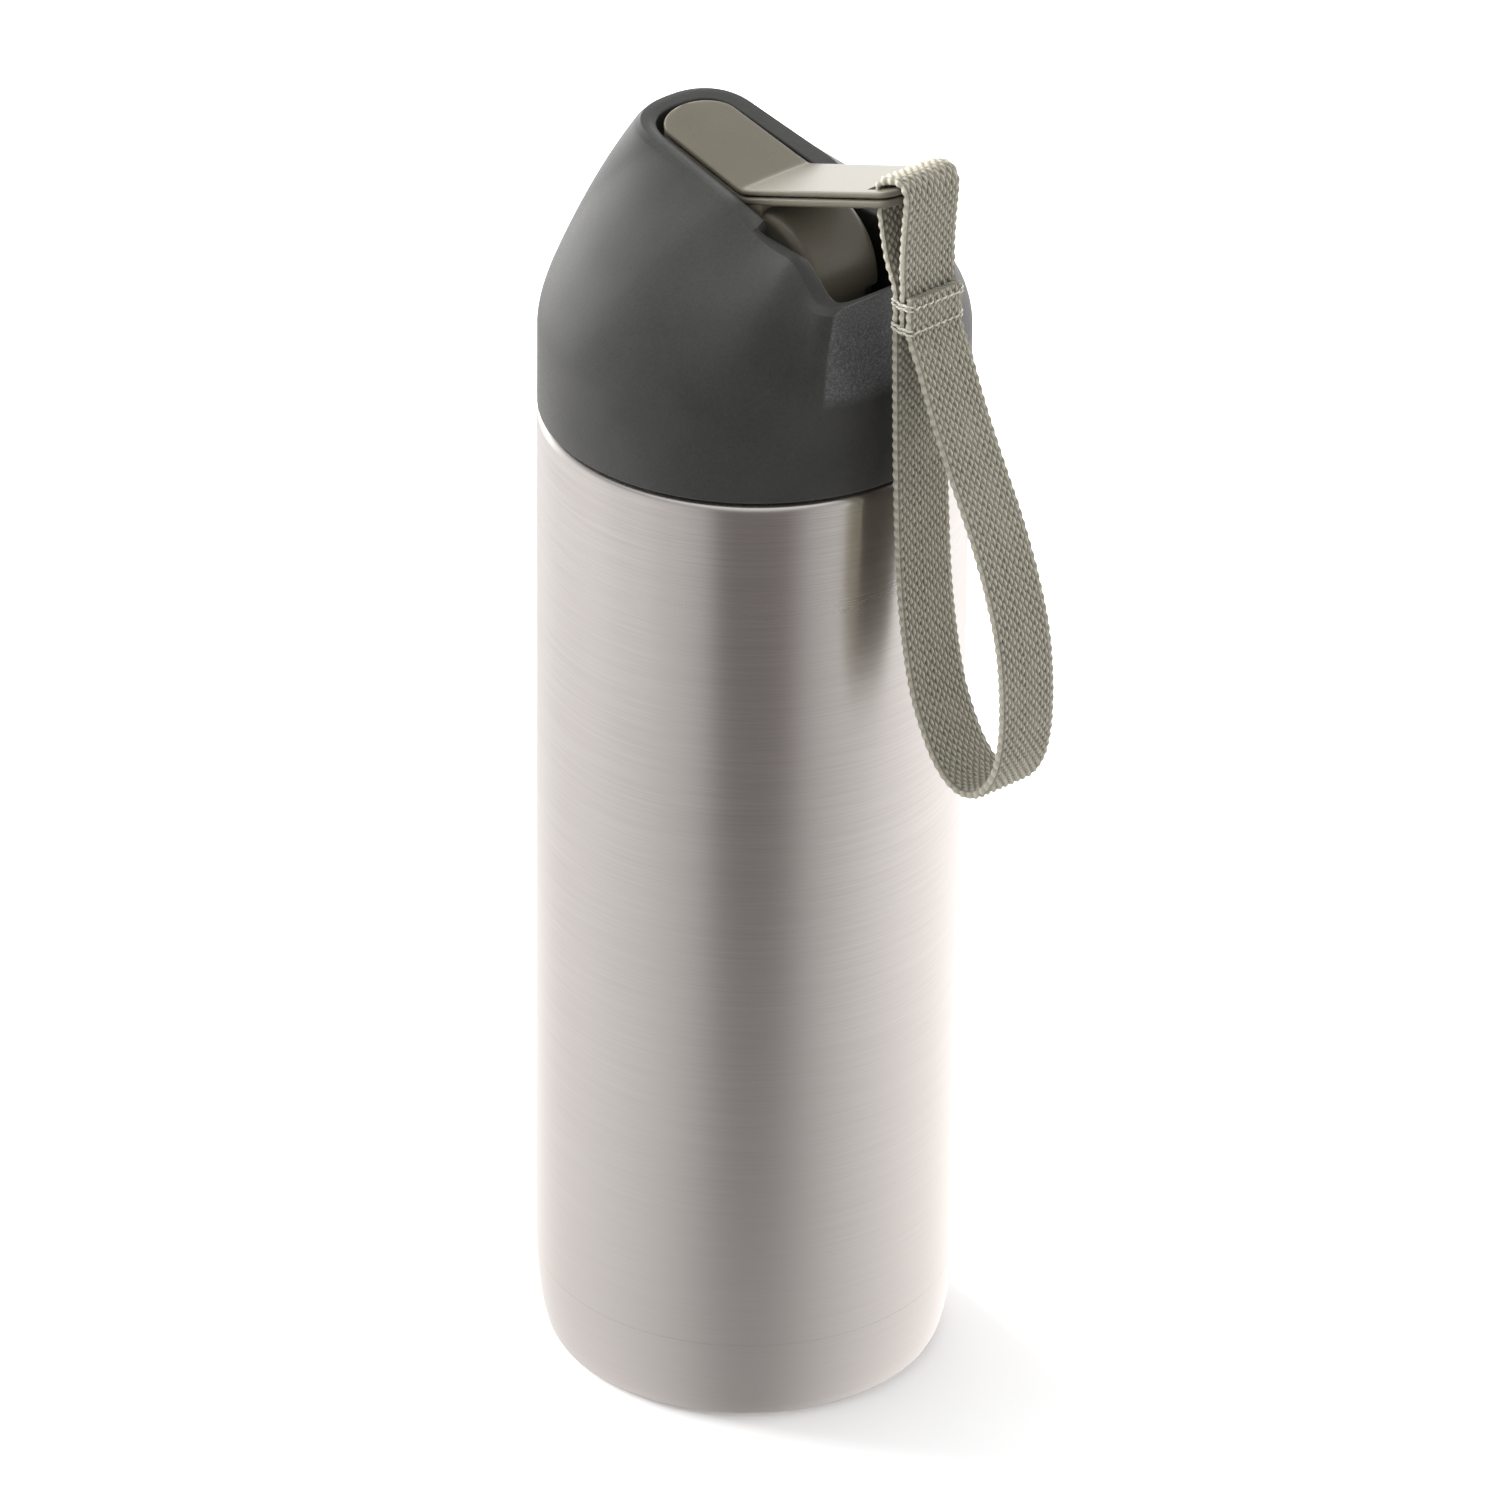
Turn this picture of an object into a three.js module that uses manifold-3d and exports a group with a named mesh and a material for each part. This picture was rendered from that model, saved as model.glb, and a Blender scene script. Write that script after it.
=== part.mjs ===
// Insulated drinking bottle: double-walled steel flask, screw cap, flip-up spout and webbing wrist strap.
// Millimetres, +Z up. The origin is the centre of the base, on the surface that the bottle stands on.
// The spout lies along Y in a trough on top of the cap, with its mouth at +Y and its tab and strap at -Y.
import * as THREE from "three";
import { mergeVertices } from "three/addons/utils/BufferGeometryUtils.js";
import Module from "manifold-3d";

const wasm = await Module();
wasm.setup();

// ---- driving dimensions ----
const GAP = 0.3; // between pieces that rest on each other
const SIDES = 48; // facets round the large turned pieces
const SMALL_SIDES = 24; // facets round the small ones
const ABOVE = 240; // a height past every piece, for cutting tools
const BESIDE = 40; // a distance from the axis past every capped piece, for cutting tools

const BODY_R = 33;
const SHEET = 0.8; // steel wall
const WELD_Z = 14; // joint between the tube and the base cup
const TAPER = 2.6; // how far the base draws in
const TAPER_H = 18.3; // height over which it does
const FOOT_IN = 24.8; // inner radius of the foot ring
const FOOT_OUT = 29.6;
const PLATE_Z = 2.2; // underside of the base cup's centre plate
const DISC_T = 1;
const SEAL_HOLE_R = 2.2; // evacuation hole in the base cup
const GETTER = { x: 14, r: 5, thickness: 1.8 }; // gas-absorbing pellet under the inner flask
const FLASK_R = 29.8; // outside of the inner flask
const FLASK_FLOOR = 8.2;
const SHOULDER_Z = 163;
const NECK_R = 26.2; // outside of the neck
const NECK_TOP = 172.6;
const LIP_TOP = 173.7;

const PITCH = 4; // closing thread
const THREAD_TURNS = 1.25;
const THREAD_Z = 166.4; // middle of the neck's ridge at its start
const NECK_CREST = 27.9;
const CAP_WALL_R = 28.3; // inside of the liner's skirt
const CAP_CREST = 26.7;
const THREAD_STEPS = 32; // per turn

const CAP_Z = 163.4; // lower edge of the cap
const LINER_R = 30.3;
const LINER_Z = 164.2;
const DECK_Z = 175.5; // underside of the liner's deck
const DECK_TOP = 177.3;
const SHELL_IN_R = 30.7;
const CAP_STRAIGHT_Z = 177; // the cap is a plain cylinder up to here
const CAP_WAIST = 1.75; // power of the curve that draws the cap in to its rim
const RIM_Z = 203.75; // height of the trough's edge at y = 0
const RIM_SLOPE = 0.18;
const STEP_Y = -11.5; // where the edge drops to a lower ledge
const STEP_HALF = 0.1; // half the length of that drop
const LEDGE_Z = 199.3;
const LIP_START_Y = -20.5;
const LIP_END_Y = -28.6;
const LIP_Z = 194.8; // front lip of the trough
const ROLL_FADE = [4, 18]; // -y over which the rounded rim sinks to the ledge
const TROUGH_BACK = { y: 12, halfWidth: 7.2, depth: 6.2 };
const TROUGH_FRONT = { y: -26.4, halfWidth: 8.9, depth: 2.9 };
const BAND_BACK = 3.2; // width of the rounded rim at the back, sides and front lip
const BAND_SIDE = [3.4, 4.3];
const BAND_FRONT = 1.5;
const CREST = 0.45; // how far the rim rises above the trough's edge
const CREST_SHARE = 0.75; // where its highest line lies across the rim
const CAP_WALL = 1.8; // thickness round the trough
const CAP_CEILING = 3.2; // depth of material under the rim
const WELL_Z = 184; // floor of the trough in front of the hub

const HUB = { y: -9.4, z: 190.3, r: 11.5 };
const HUB_ROOM = 0.7; // clearance round the hub in the trough
const PIN_R = 1.5;
const PIN_BORE_R = 1.8;
const PORT_R = 2.6;
const VENT_Y = 14;
const OPEN_DEG = 37; // how far the spout flips

const LEVER_HALF_W = 6.9;
const PANEL_Z = 204.2; // top of the spout at y = 0
const PANEL_SLOPE = 0.185;
const PANEL_BACK = { y: 12.3, halfWidth: 6.6, depth: 4.8 };
const CREASE_Y = -4.3;
const TAB_Z = 201.8; // tab's top, carried back to y = 0
const TAB_SLOPE = -0.376;
const TAB_END_Y = -37.9;
const TAB_CORNER = 3;
const TAB_T = 2.75; // measured upright
const COVER_T = 1.05;
const BAR_DEPTH = 7.7; // from the spout's top to its underside
const BAR = { y: -35.8, r: 2.1 }; // round bar at the tab's end, which carries the strap
const SLOT = { end: 4.8, halfWidth: 5.5 }; // from the bar's middle, along the tab
const TUBE = { halfWidth: 4.2, halfHeight: 2.2, wall: 0.7 };

const WEB_W = 10.3;
const WEB_T = 1.2;
const TURN_ROOM = { over: 0.45, front: 0.95 }; // slack that lets the loop turn on the bar
const LAYER = WEB_T + GAP; // pitch of the sewn layers
const SEWN_Y = -37; // middle of the innermost sewn layer
const SEWN_LOW = 192;
const SEWN_HIGH = 198.4;
const STITCH_ROWS = { upper: 197, lower: 193 };
const THREAD_T = 0.5;

// ---- solids ----
// A closed geometry as a manifold-3d solid, whichever way its faces wind.
function solid(geometry) {
  const plain = (geometry.index ? geometry.toNonIndexed() : geometry).clone();
  plain.deleteAttribute("normal");
  plain.deleteAttribute("uv");
  const merged = mergeVertices(plain, 1e-4);
  const position = merged.attributes.position;
  const corners = [];
  let volume = 0;
  const [a, b, c] = [new THREE.Vector3(), new THREE.Vector3(), new THREE.Vector3()];
  for (let i = 0; i < merged.index.count; i += 3) {
    const [p, q, r] = [0, 1, 2].map((k) => merged.index.getX(i + k));
    if (p === q || q === r || r === p) continue;
    corners.push(p, q, r);
    a.fromBufferAttribute(position, p);
    b.fromBufferAttribute(position, q);
    c.fromBufferAttribute(position, r);
    volume += a.dot(b.cross(c));
  }
  if (volume < 0) corners.reverse();
  const triVerts = new Uint32Array(corners);
  return new wasm.Manifold(new wasm.Mesh({ numProp: 3, vertProperties: position.array, triVerts }));
}

function geometryOf(made) {
  const mesh = made.getMesh();
  const points = new Float32Array(mesh.numVert * 3);
  for (let i = 0; i < mesh.numVert; i++) {
    points.set(mesh.vertProperties.subarray(i * mesh.numProp, i * mesh.numProp + 3), i * 3);
  }
  const geometry = new THREE.BufferGeometry();
  geometry.setAttribute("position", new THREE.BufferAttribute(points, 3));
  geometry.setIndex(new THREE.BufferAttribute(mesh.triVerts, 1));
  geometry.computeVertexNormals();
  return geometry;
}

const join = (...solids) => solids.reduce((all, next) => all.add(next));
const cut = (base, ...tools) => tools.reduce((left, tool) => left.subtract(tool), base);

// ---- shape helpers ----
const arc = (cx, cy, r, fromDeg, toDeg, steps) =>
  Array.from({ length: steps + 1 }, (_, i) => {
    const angle = THREE.MathUtils.degToRad(fromDeg + ((toDeg - fromDeg) * i) / steps);
    return [cx + r * Math.cos(angle), cy + r * Math.sin(angle)];
  });

// A turned solid about the Z axis from [radius, height] points.
function turned(profile, sides = SIDES) {
  const geometry = new THREE.LatheGeometry(profile.map(([r, z]) => new THREE.Vector2(r, z)), sides);
  return solid(geometry.rotateX(Math.PI / 2));
}

const ring = (inner, outer, low, high, sides = SIDES) =>
  turned([[inner, low], [outer, low], [outer, high], [inner, high], [inner, low]], sides);

const disc = (r, low, high, sides = SMALL_SIDES) => turned([[0, low], [r, low], [r, high], [0, high]], sides);

// A prism along X from a [y, z] outline, centred on x = 0.
function prismX(outline, width, x = 0) {
  const shape = new THREE.Shape(outline.map(([y, z]) => new THREE.Vector2(y, z)));
  const geometry = new THREE.ExtrudeGeometry(shape, { depth: width, bevelEnabled: false });
  geometry.translate(0, 0, x - width / 2);
  const axes = [new THREE.Vector3(0, 1, 0), new THREE.Vector3(0, 0, 1), new THREE.Vector3(1, 0, 0)];
  return solid(geometry.applyMatrix4(new THREE.Matrix4().makeBasis(...axes)));
}

// A prism along Z from an [x, y] outline.
function prismZ(outline, low, high) {
  const shape = new THREE.Shape(outline.map(([x, y]) => new THREE.Vector2(x, y)));
  const geometry = new THREE.ExtrudeGeometry(shape, { depth: high - low, bevelEnabled: false });
  return solid(geometry.translate(0, 0, low));
}

const cylinderX = (y, z, r, x0, x1, sides = SMALL_SIDES) =>
  prismX(arc(y, z, r, 0, 360, sides).slice(0, -1), x1 - x0, (x0 + x1) / 2);

const boxAt = (x0, x1, y0, y1, z0, z1) =>
  prismX([[y0, z0], [y1, z0], [y1, z1], [y0, z1]], x1 - x0, (x0 + x1) / 2);

// A solid skinned over rings of equal point counts, closed at both ends by a fan.
function loft(rings) {
  const count = rings[0].length;
  const points = rings.flat();
  const index = [];
  for (let k = 0; k + 1 < rings.length; k++) {
    for (let i = 0; i < count; i++) {
      const [a, b] = [k * count + i, k * count + ((i + 1) % count)];
      index.push(a, b, b + count, a, b + count, a + count);
    }
  }
  for (const [start, order] of [[0, -1], [(rings.length - 1) * count, 1]]) {
    const middle = new THREE.Vector3();
    for (let i = 0; i < count; i++) middle.addScaledVector(points[start + i], 1 / count);
    points.push(middle);
    for (let i = 0; i < count; i++) {
      const pair = [start + i, start + ((i + 1) % count)];
      if (order < 0) pair.reverse();
      index.push(points.length - 1, ...pair);
    }
  }
  const geometry = new THREE.BufferGeometry().setFromPoints(points);
  geometry.setIndex(index);
  return solid(geometry);
}

// A helical ridge of trapezium section: root to crest radius, with run-outs at both ends.
function ridge(root, crest, startTurn, endTurn, zAtZero) {
  const [ROOT_HALF, CREST_HALF, BURY, RUN_OUT] = [0.6, 0.4, 0.4, 0.08];
  const inward = Math.sign(crest - root);
  const steps = Math.round((endTurn - startTurn) * THREAD_STEPS);
  const rings = [];
  for (let i = 0; i <= steps; i++) {
    const turn = startTurn + ((endTurn - startTurn) * i) / steps;
    const fade = Math.min(1, Math.min(turn - startTurn, endTurn - turn) / RUN_OUT);
    const top = THREE.MathUtils.lerp(root - inward * BURY * 0.5, crest, fade);
    const z = zAtZero + PITCH * turn;
    const section = [
      [root - inward * BURY, z - ROOT_HALF],
      [top, z - CREST_HALF],
      [top, z + CREST_HALF],
      [root - inward * BURY, z + ROOT_HALF],
    ];
    const angle = 2 * Math.PI * turn;
    rings.push(section.map(([r, h]) => new THREE.Vector3(r * Math.cos(angle), r * Math.sin(angle), h)));
  }
  return loft(rings);
}

// A flat strip of webbing standing on edge along X, from the [y, z] middle line of its thickness.
function strip(line, width = WEB_W, thickness = WEB_T) {
  const points = line.map(([y, z]) => new THREE.Vector2(y, z));
  const sideways = points.map((point, i) => {
    const back = points[Math.max(0, i - 1)];
    const ahead = points[Math.min(points.length - 1, i + 1)];
    const along = ahead.clone().sub(back).normalize();
    return new THREE.Vector2(-along.y, along.x).multiplyScalar(thickness / 2);
  });
  const left = points.map((point, i) => point.clone().add(sideways[i]).toArray());
  const right = points.map((point, i) => point.clone().sub(sideways[i]).toArray());
  return prismX([...left, ...right.reverse()], width);
}

// ---- flask ----
// Outer radius near the base, a quarter of an ellipse.
function taperedR(z) {
  const down = 1 - Math.min(z, TAPER_H) / TAPER_H;
  return BODY_R - TAPER * (1 - Math.sqrt(1 - down ** 2));
}

function outerShell() {
  const edge = 1.6;
  const fillet = 1.2;
  const low = WELD_Z + GAP / 2;
  const outside = [
    [taperedR(low), low],
    [BODY_R, TAPER_H],
    ...arc(BODY_R - edge, SHOULDER_Z - edge, edge, 0, 90, 4),
    ...arc(NECK_R + fillet, SHOULDER_Z + fillet, fillet, 270, 180, 3),
    [NECK_R, NECK_TOP],
  ];
  const inside = [
    [NECK_R - SHEET, NECK_TOP],
    [NECK_R - SHEET, SHOULDER_Z + fillet],
    [NECK_R + fillet, SHOULDER_Z - SHEET],
    [BODY_R - edge, SHOULDER_Z - SHEET],
    [BODY_R - SHEET, SHOULDER_Z - edge],
    [BODY_R - SHEET, TAPER_H],
    [taperedR(low) - SHEET, low],
  ];
  const tube = turned([...outside, ...inside, outside[0]]);
  return join(tube, ridge(NECK_R, NECK_CREST, 0, THREAD_TURNS, THREAD_Z));
}

function baseCup() {
  const top = WELD_Z - GAP / 2;
  const heights = [top, 10, 7, 4.5, 2.5, 1.2, 0.4];
  const outside = heights.map((z) => [taperedR(z), z]);
  const plateTop = PLATE_Z + SHEET;
  const profile = [
    ...outside,
    [FOOT_OUT, 0],
    [FOOT_IN + GAP, 0],
    [FOOT_IN, GAP],
    [FOOT_IN, PLATE_Z],
    [SEAL_HOLE_R, PLATE_Z],
    [SEAL_HOLE_R, plateTop],
    [FOOT_OUT - SHEET, plateTop],
    [taperedR(7) - SHEET, 7],
    [taperedR(top) - SHEET, top],
    outside[0],
  ];
  return turned(profile);
}

function innerFlask() {
  const corner = 4;
  const neck = NECK_R - SHEET - GAP;
  const shoulderLow = 154;
  const shoulderHigh = 161;
  const outside = [
    [0, FLASK_FLOOR],
    ...arc(FLASK_R - corner, FLASK_FLOOR + corner, corner, 270, 360, 4),
    [FLASK_R, shoulderLow],
    [neck, shoulderHigh],
    [neck, NECK_TOP + GAP],
    [NECK_R, NECK_TOP + GAP],
    [NECK_R - GAP, LIP_TOP],
  ];
  const inside = [
    [neck - SHEET + GAP, LIP_TOP],
    [neck - SHEET, LIP_TOP - GAP],
    [neck - SHEET, shoulderHigh],
    [FLASK_R - SHEET, shoulderLow],
    ...arc(FLASK_R - corner, FLASK_FLOOR + corner, corner - SHEET, 360, 270, 4),
    [0, FLASK_FLOOR + SHEET],
  ];
  return turned([...outside, ...inside]);
}

const vacuumPlug = () => turned([[0, 1.6], [1.9, 1.6], [1.9, 3.2], [1.2, 3.7], [0, 3.9]], SMALL_SIDES);

function getter() {
  const top = FLASK_FLOOR - GAP;
  return disc(GETTER.r, top - GETTER.thickness, top).translate([GETTER.x, 0, 0]);
}

function baseDisc() {
  const edge = FOOT_IN - GAP - 0.1;
  return turned([[0, 0], [edge - GAP, 0], [edge, GAP], [edge, DISC_T], [0, DISC_T]]);
}

// ---- cap ----
// Height of the trough's edge along Y.
function edgeZ(y) {
  if (y > STEP_Y) return RIM_Z + RIM_SLOPE * y;
  const fall = THREE.MathUtils.smoothstep(-y, -LIP_START_Y, -LIP_END_Y);
  return THREE.MathUtils.lerp(LEDGE_Z, LIP_Z, fall);
}

// Height of the rounded rim's highest line along Y: it sinks gently where the edge steps down.
function rollZ(y) {
  const rim = RIM_Z + RIM_SLOPE * y + CREST;
  const fall = THREE.MathUtils.smoothstep(-y, -LIP_START_Y, -LIP_END_Y);
  const ledge = THREE.MathUtils.lerp(LEDGE_Z + CREST, LIP_Z, fall);
  return THREE.MathUtils.lerp(rim, ledge, THREE.MathUtils.smoothstep(-y, ...ROLL_FADE));
}

// Half of the trough's outline from the back centre to the front centre, with x >= 0.
// Each point carries the width of the rounded rim outside it.
function troughHalf() {
  const corner = (end, squareness, bands, steps) =>
    Array.from({ length: steps + 1 }, (_, i) => {
      const angle = ((i / steps) * Math.PI) / 2;
      const x = end.halfWidth * Math.cos(angle) ** squareness;
      const y = end.y + Math.sign(end.y) * end.depth * Math.sin(angle) ** squareness;
      return { x, y, angle: Math.sign(end.y) * angle, band: THREE.MathUtils.lerp(...bands, i / steps) };
    });
  const side = [6, 0, -6, STEP_Y + STEP_HALF, STEP_Y - STEP_HALF, -16, -20, -23.5].map((y) => {
    const along = (TROUGH_BACK.y - y) / (TROUGH_BACK.y - TROUGH_FRONT.y);
    const x = THREE.MathUtils.lerp(TROUGH_BACK.halfWidth, TROUGH_FRONT.halfWidth, along);
    return { x, y, angle: 0, band: THREE.MathUtils.lerp(...BAND_SIDE, along) };
  });
  const back = corner(TROUGH_BACK, 0.8, [BAND_SIDE[0], BAND_BACK], 6).reverse();
  return [...back, ...side, ...corner(TROUGH_FRONT, 0.4, [BAND_SIDE[1], BAND_FRONT], 5)];
}

// The trough's outline moved outwards by the given share of its rim and a fixed amount.
function troughOutline(share, extra = 0) {
  const half = troughHalf().map(({ x, y, band, angle }) => {
    const out = band * share + extra;
    return [x < 1e-6 ? 0 : x + out * Math.cos(angle), y + out * Math.sin(angle)];
  });
  const mirrored = half.slice(1, -1).reverse().map(([x, y]) => [-x, y]);
  return [...half, ...mirrored];
}

// Rings from the cap's cylinder up to the rim, between a circle and an outline with its heights.
function capRings(radius, lowZ, outline, heights, levels) {
  const half = outline.length / 2;
  const lengths = [0];
  for (let i = 1; i <= half; i++) {
    const [[x0, y0], [x1, y1]] = [outline[i - 1], outline[i]];
    lengths.push(lengths[i - 1] + Math.hypot(x1 - x0, y1 - y0));
  }
  const angleAt = (i) => (Math.PI * lengths[i]) / lengths[half];
  const angles = outline.map((_, i) => (i <= half ? angleAt(i) : -angleAt(outline.length - i)));
  return levels.map((t) =>
    outline.map(([x, y], i) => {
      const pull = t ** CAP_WAIST;
      const px = THREE.MathUtils.lerp(radius * Math.sin(angles[i]), x, pull);
      const py = THREE.MathUtils.lerp(radius * Math.cos(angles[i]), y, pull);
      return new THREE.Vector3(px, py, THREE.MathUtils.lerp(lowZ, heights[i], t));
    }),
  );
}

function capForm() {
  const crest = troughOutline(CREST_SHARE);
  const inner = troughOutline(0);
  const heights = inner.map(([, y]) => edgeZ(y));
  const levels = [0, 0.12, 0.24, 0.36, 0.48, 0.6, 0.72, 0.84, 0.94, 1];
  const crests = inner.map(([, y]) => rollZ(y));
  const sides = capRings(BODY_R, CAP_STRAIGHT_Z, crest, crests, levels);
  const skirt = [[BODY_R - 0.5, CAP_Z], [BODY_R, CAP_Z + 0.7]].map(([r, z]) =>
    sides[0].map((point) => new THREE.Vector3((point.x * r) / BODY_R, (point.y * r) / BODY_R, z)),
  );
  const top = inner.map(([x, y], i) => new THREE.Vector3(x, y, heights[i]));
  return loft([...skirt, ...sides, top]);
}

function capHollow() {
  const outline = troughOutline(0, 1.2);
  const heights = outline.map(([, y]) => edgeZ(y) - CAP_CEILING);
  const rings = capRings(SHELL_IN_R, CAP_STRAIGHT_Z, outline, heights, [0, 0.2, 0.4, 0.6, 0.8, 1]);
  const mouth = rings[0].map((point) => new THREE.Vector3(point.x, point.y, CAP_Z - 1));
  return loft([mouth, ...rings]);
}

// The space of the trough: a sloping slot for the spout, a round room for its hub, and a well in front.
function troughSpace(outline, wall) {
  const floor = (y) => PANEL_Z - BAR_DEPTH - HUB_ROOM - wall + PANEL_SLOPE * y;
  const slotSide = [[HUB.y, floor(HUB.y)], [BESIDE, floor(BESIDE)], [BESIDE, ABOVE], [HUB.y, ABOVE]];
  const slot = prismX(slotSide, 2 * BESIDE);
  const room = cylinderX(HUB.y, HUB.z, HUB.r + HUB_ROOM + wall, -BESIDE, BESIDE, SIDES);
  const well = boxAt(-BESIDE, BESIDE, -BESIDE, HUB.y, WELL_Z - wall, ABOVE);
  return join(slot, room, well).intersect(prismZ(outline, DECK_TOP + GAP, ABOVE));
}

// What the finger scoop takes off the front of the cap.
function fingerScoop() {
  const face = [[-33.4, 178], [-32.3, 180], [-31.5, 183], [-30.9, 187], [-30.65, 191], [-30.6, 200]];
  return prismX([[-BESIDE, 178], ...face, [-BESIDE, 200]], 2 * BESIDE);
}

function capShell() {
  const form = cut(capForm(), fingerScoop());
  const walls = form.intersect(troughSpace(troughOutline(0, CAP_WALL - 0.5), CAP_WALL));
  const seatHole = disc(7.2, DECK_TOP - 5, HUB.z, SMALL_SIDES).translate([0, HUB.y, 0]);
  const pinHoles = cylinderX(HUB.y, HUB.z, PIN_R + GAP, -12, 12);
  return cut(join(cut(form, capHollow()), walls), troughSpace(troughOutline(0), 0), seatHole, pinHoles);
}

const hubClearance = () => cylinderX(HUB.y, HUB.z, HUB.r + GAP, -BESIDE, BESIDE, SIDES);

function capLiner() {
  const skirt = turned([
    [0, DECK_Z],
    [CAP_WALL_R, DECK_Z],
    [CAP_WALL_R, LINER_Z],
    [LINER_R, LINER_Z],
    [LINER_R, DECK_TOP - 0.8],
    [LINER_R - 0.8, DECK_TOP],
    [0, DECK_TOP],
  ]);
  const thread = ridge(CAP_WALL_R, CAP_CREST, 0.25, 0.25 + THREAD_TURNS, THREAD_Z - PITCH / 2);
  const boss = disc(6.4, DECK_Z + 1, DECK_TOP + 4).translate([0, HUB.y, 0]);
  const counterbore = disc(5.5, DECK_TOP + GAP, HUB.z).translate([0, HUB.y, 0]);
  const port = disc(PORT_R, LINER_Z, HUB.z).translate([0, HUB.y, 0]);
  const ventHole = disc(1.6, LINER_Z, HUB.z).translate([0, VENT_Y, 0]);
  return cut(join(skirt, thread, boss), counterbore, port, ventHole, hubClearance());
}

function spoutSeal() {
  const body = ring(PORT_R + GAP, 5.2, DECK_TOP + 2 * GAP, DECK_TOP + 4, SMALL_SIDES);
  return cut(body.translate([0, HUB.y, 0]), hubClearance());
}

const mouthGasket = () => ring(23.6, 27.6, LIP_TOP + GAP, DECK_Z - GAP);

function ventValve() {
  const profile = [
    [0, 174],
    [3.6, 174.4],
    [3.6, 175.1],
    [1.3, DECK_Z - GAP],
    [1.3, DECK_TOP + GAP],
    [2.2, DECK_TOP + 2 * GAP],
    [1.4, DECK_TOP + 2],
    [0, DECK_TOP + 2.2],
  ];
  return turned(profile, SMALL_SIDES).translate([0, VENT_Y, 0]);
}

// A headed stub pin from inside the cap, through the trough's wall, into the hub.
function hingePin(side) {
  const shank = cylinderX(HUB.y, HUB.z, PIN_R, 3.6, 11);
  const head = cylinderX(HUB.y, HUB.z, 2.6, 10.2, 11.4);
  const pin = join(shank, head);
  return side < 0 ? pin.mirror([1, 0, 0]) : pin;
}

// ---- spout ----
const panelTop = (y) => PANEL_Z + PANEL_SLOPE * y;
const tabTop = (y) => TAB_Z + TAB_SLOPE * y;

// The spout seen from above: rounded mouth end, straight sides, rounded tab corners.
function leverPlan() {
  const mouth = [];
  for (let i = 0; i <= 8; i++) {
    const angle = (i / 8) * Math.PI;
    mouth.push([PANEL_BACK.halfWidth * Math.cos(angle), PANEL_BACK.y + PANEL_BACK.depth * Math.sin(angle)]);
  }
  const corner = (side, fromDeg) =>
    arc(side * (LEVER_HALF_W - TAB_CORNER), TAB_END_Y + TAB_CORNER, TAB_CORNER, fromDeg, fromDeg + 90, 5);
  const tab = [[-LEVER_HALF_W, CREASE_Y], ...corner(-1, 180), ...corner(1, 270), [LEVER_HALF_W, CREASE_Y]];
  return prismZ([...mouth, ...tab], CAP_Z, ABOVE);
}

// The band of the side view between two depths below the spout's top.
function leverBand(upper, lower) {
  const topLine = [
    [BESIDE, panelTop(BESIDE)],
    [CREASE_Y, panelTop(CREASE_Y)],
    [TAB_END_Y - 1, tabTop(TAB_END_Y - 1)],
  ];
  const lowered = (depth) => topLine.map(([y, z]) => [y, z - depth]);
  return prismX([...lowered(upper), ...lowered(lower).reverse()], 2 * LEVER_HALF_W + 2);
}

// What rounds the bar and opens the slot behind it.
function strapOpening() {
  const barZ = tabTop(BAR.y) - TAB_T / 2;
  const past = LEVER_HALF_W + 3;
  const round = cylinderX(BAR.y, barZ, BAR.r, -past, past);
  const tilt = Math.atan(TAB_SLOPE);
  const place = (tool) => tool.rotate([THREE.MathUtils.radToDeg(tilt), 0, 0]).translate([0, BAR.y, barZ]);
  const slot = place(boxAt(-SLOT.halfWidth, SLOT.halfWidth, 0, SLOT.end, -6, 6));
  const end = place(boxAt(-past, past, -past, 0, -6, 6));
  return cut(join(slot, end), round);
}

const spoutCover = () => cut(leverBand(0, COVER_T).intersect(leverPlan()), strapOpening());

// A stadium-section bar along the spout's slope, from its hub end to past its mouth.
function channel(halfWidth, halfHeight, fromY, toY) {
  const flat = halfWidth - halfHeight;
  const outline = [...arc(flat, 0, halfHeight, -90, 90, 6), ...arc(-flat, 0, halfHeight, 90, 270, 6)];
  const middle = (y) => panelTop(y) - COVER_T - GAP - (BAR_DEPTH - COVER_T - GAP) / 2;
  return loft(
    [fromY, toY].map((y) => outline.map(([x, z]) => new THREE.Vector3(x, y, middle(y) + z))),
  );
}

function spoutBody() {
  const top = COVER_T + GAP;
  const bar = leverBand(top, BAR_DEPTH).intersect(boxAt(-BESIDE, BESIDE, HUB.y, BESIDE, CAP_Z, ABOVE));
  const tab = leverBand(top, TAB_T);
  const hub = cylinderX(HUB.y, HUB.z, HUB.r, -LEVER_HALF_W, LEVER_HALF_W, SIDES);
  const underCover = cut(hub, leverBand(-20, top));
  const whole = join(bar, tab, underCover).intersect(leverPlan());
  const flow = channel(TUBE.halfWidth + GAP, TUBE.halfHeight + GAP, -4, 20);
  // The inlet points straight down once the spout is flipped open.
  const inlet = disc(PORT_R, -HUB.r - 1, 9.5).rotate([-OPEN_DEG, 0, 0]).translate([0, HUB.y, HUB.z]);
  const bores = [-1, 1].map((side) => cylinderX(HUB.y, HUB.z, PIN_BORE_R, 3.3, 8).scale([side, 1, 1]));
  const notchY = HUB.y - HUB.r;
  const notches = [-1, 1].map((side) =>
    boxAt(3.5, 8, notchY - 1, notchY + 2.4, HUB.z - 5.8, HUB.z - 0.3).scale([side, 1, 1]),
  );
  return cut(whole, flow, inlet, strapOpening(), ...bores, ...notches);
}

function spoutTube() {
  const outer = channel(TUBE.halfWidth, TUBE.halfHeight, -3.4, 16.2);
  return cut(outer, channel(TUBE.halfWidth - TUBE.wall, TUBE.halfHeight - TUBE.wall, -5, 18));
}

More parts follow.
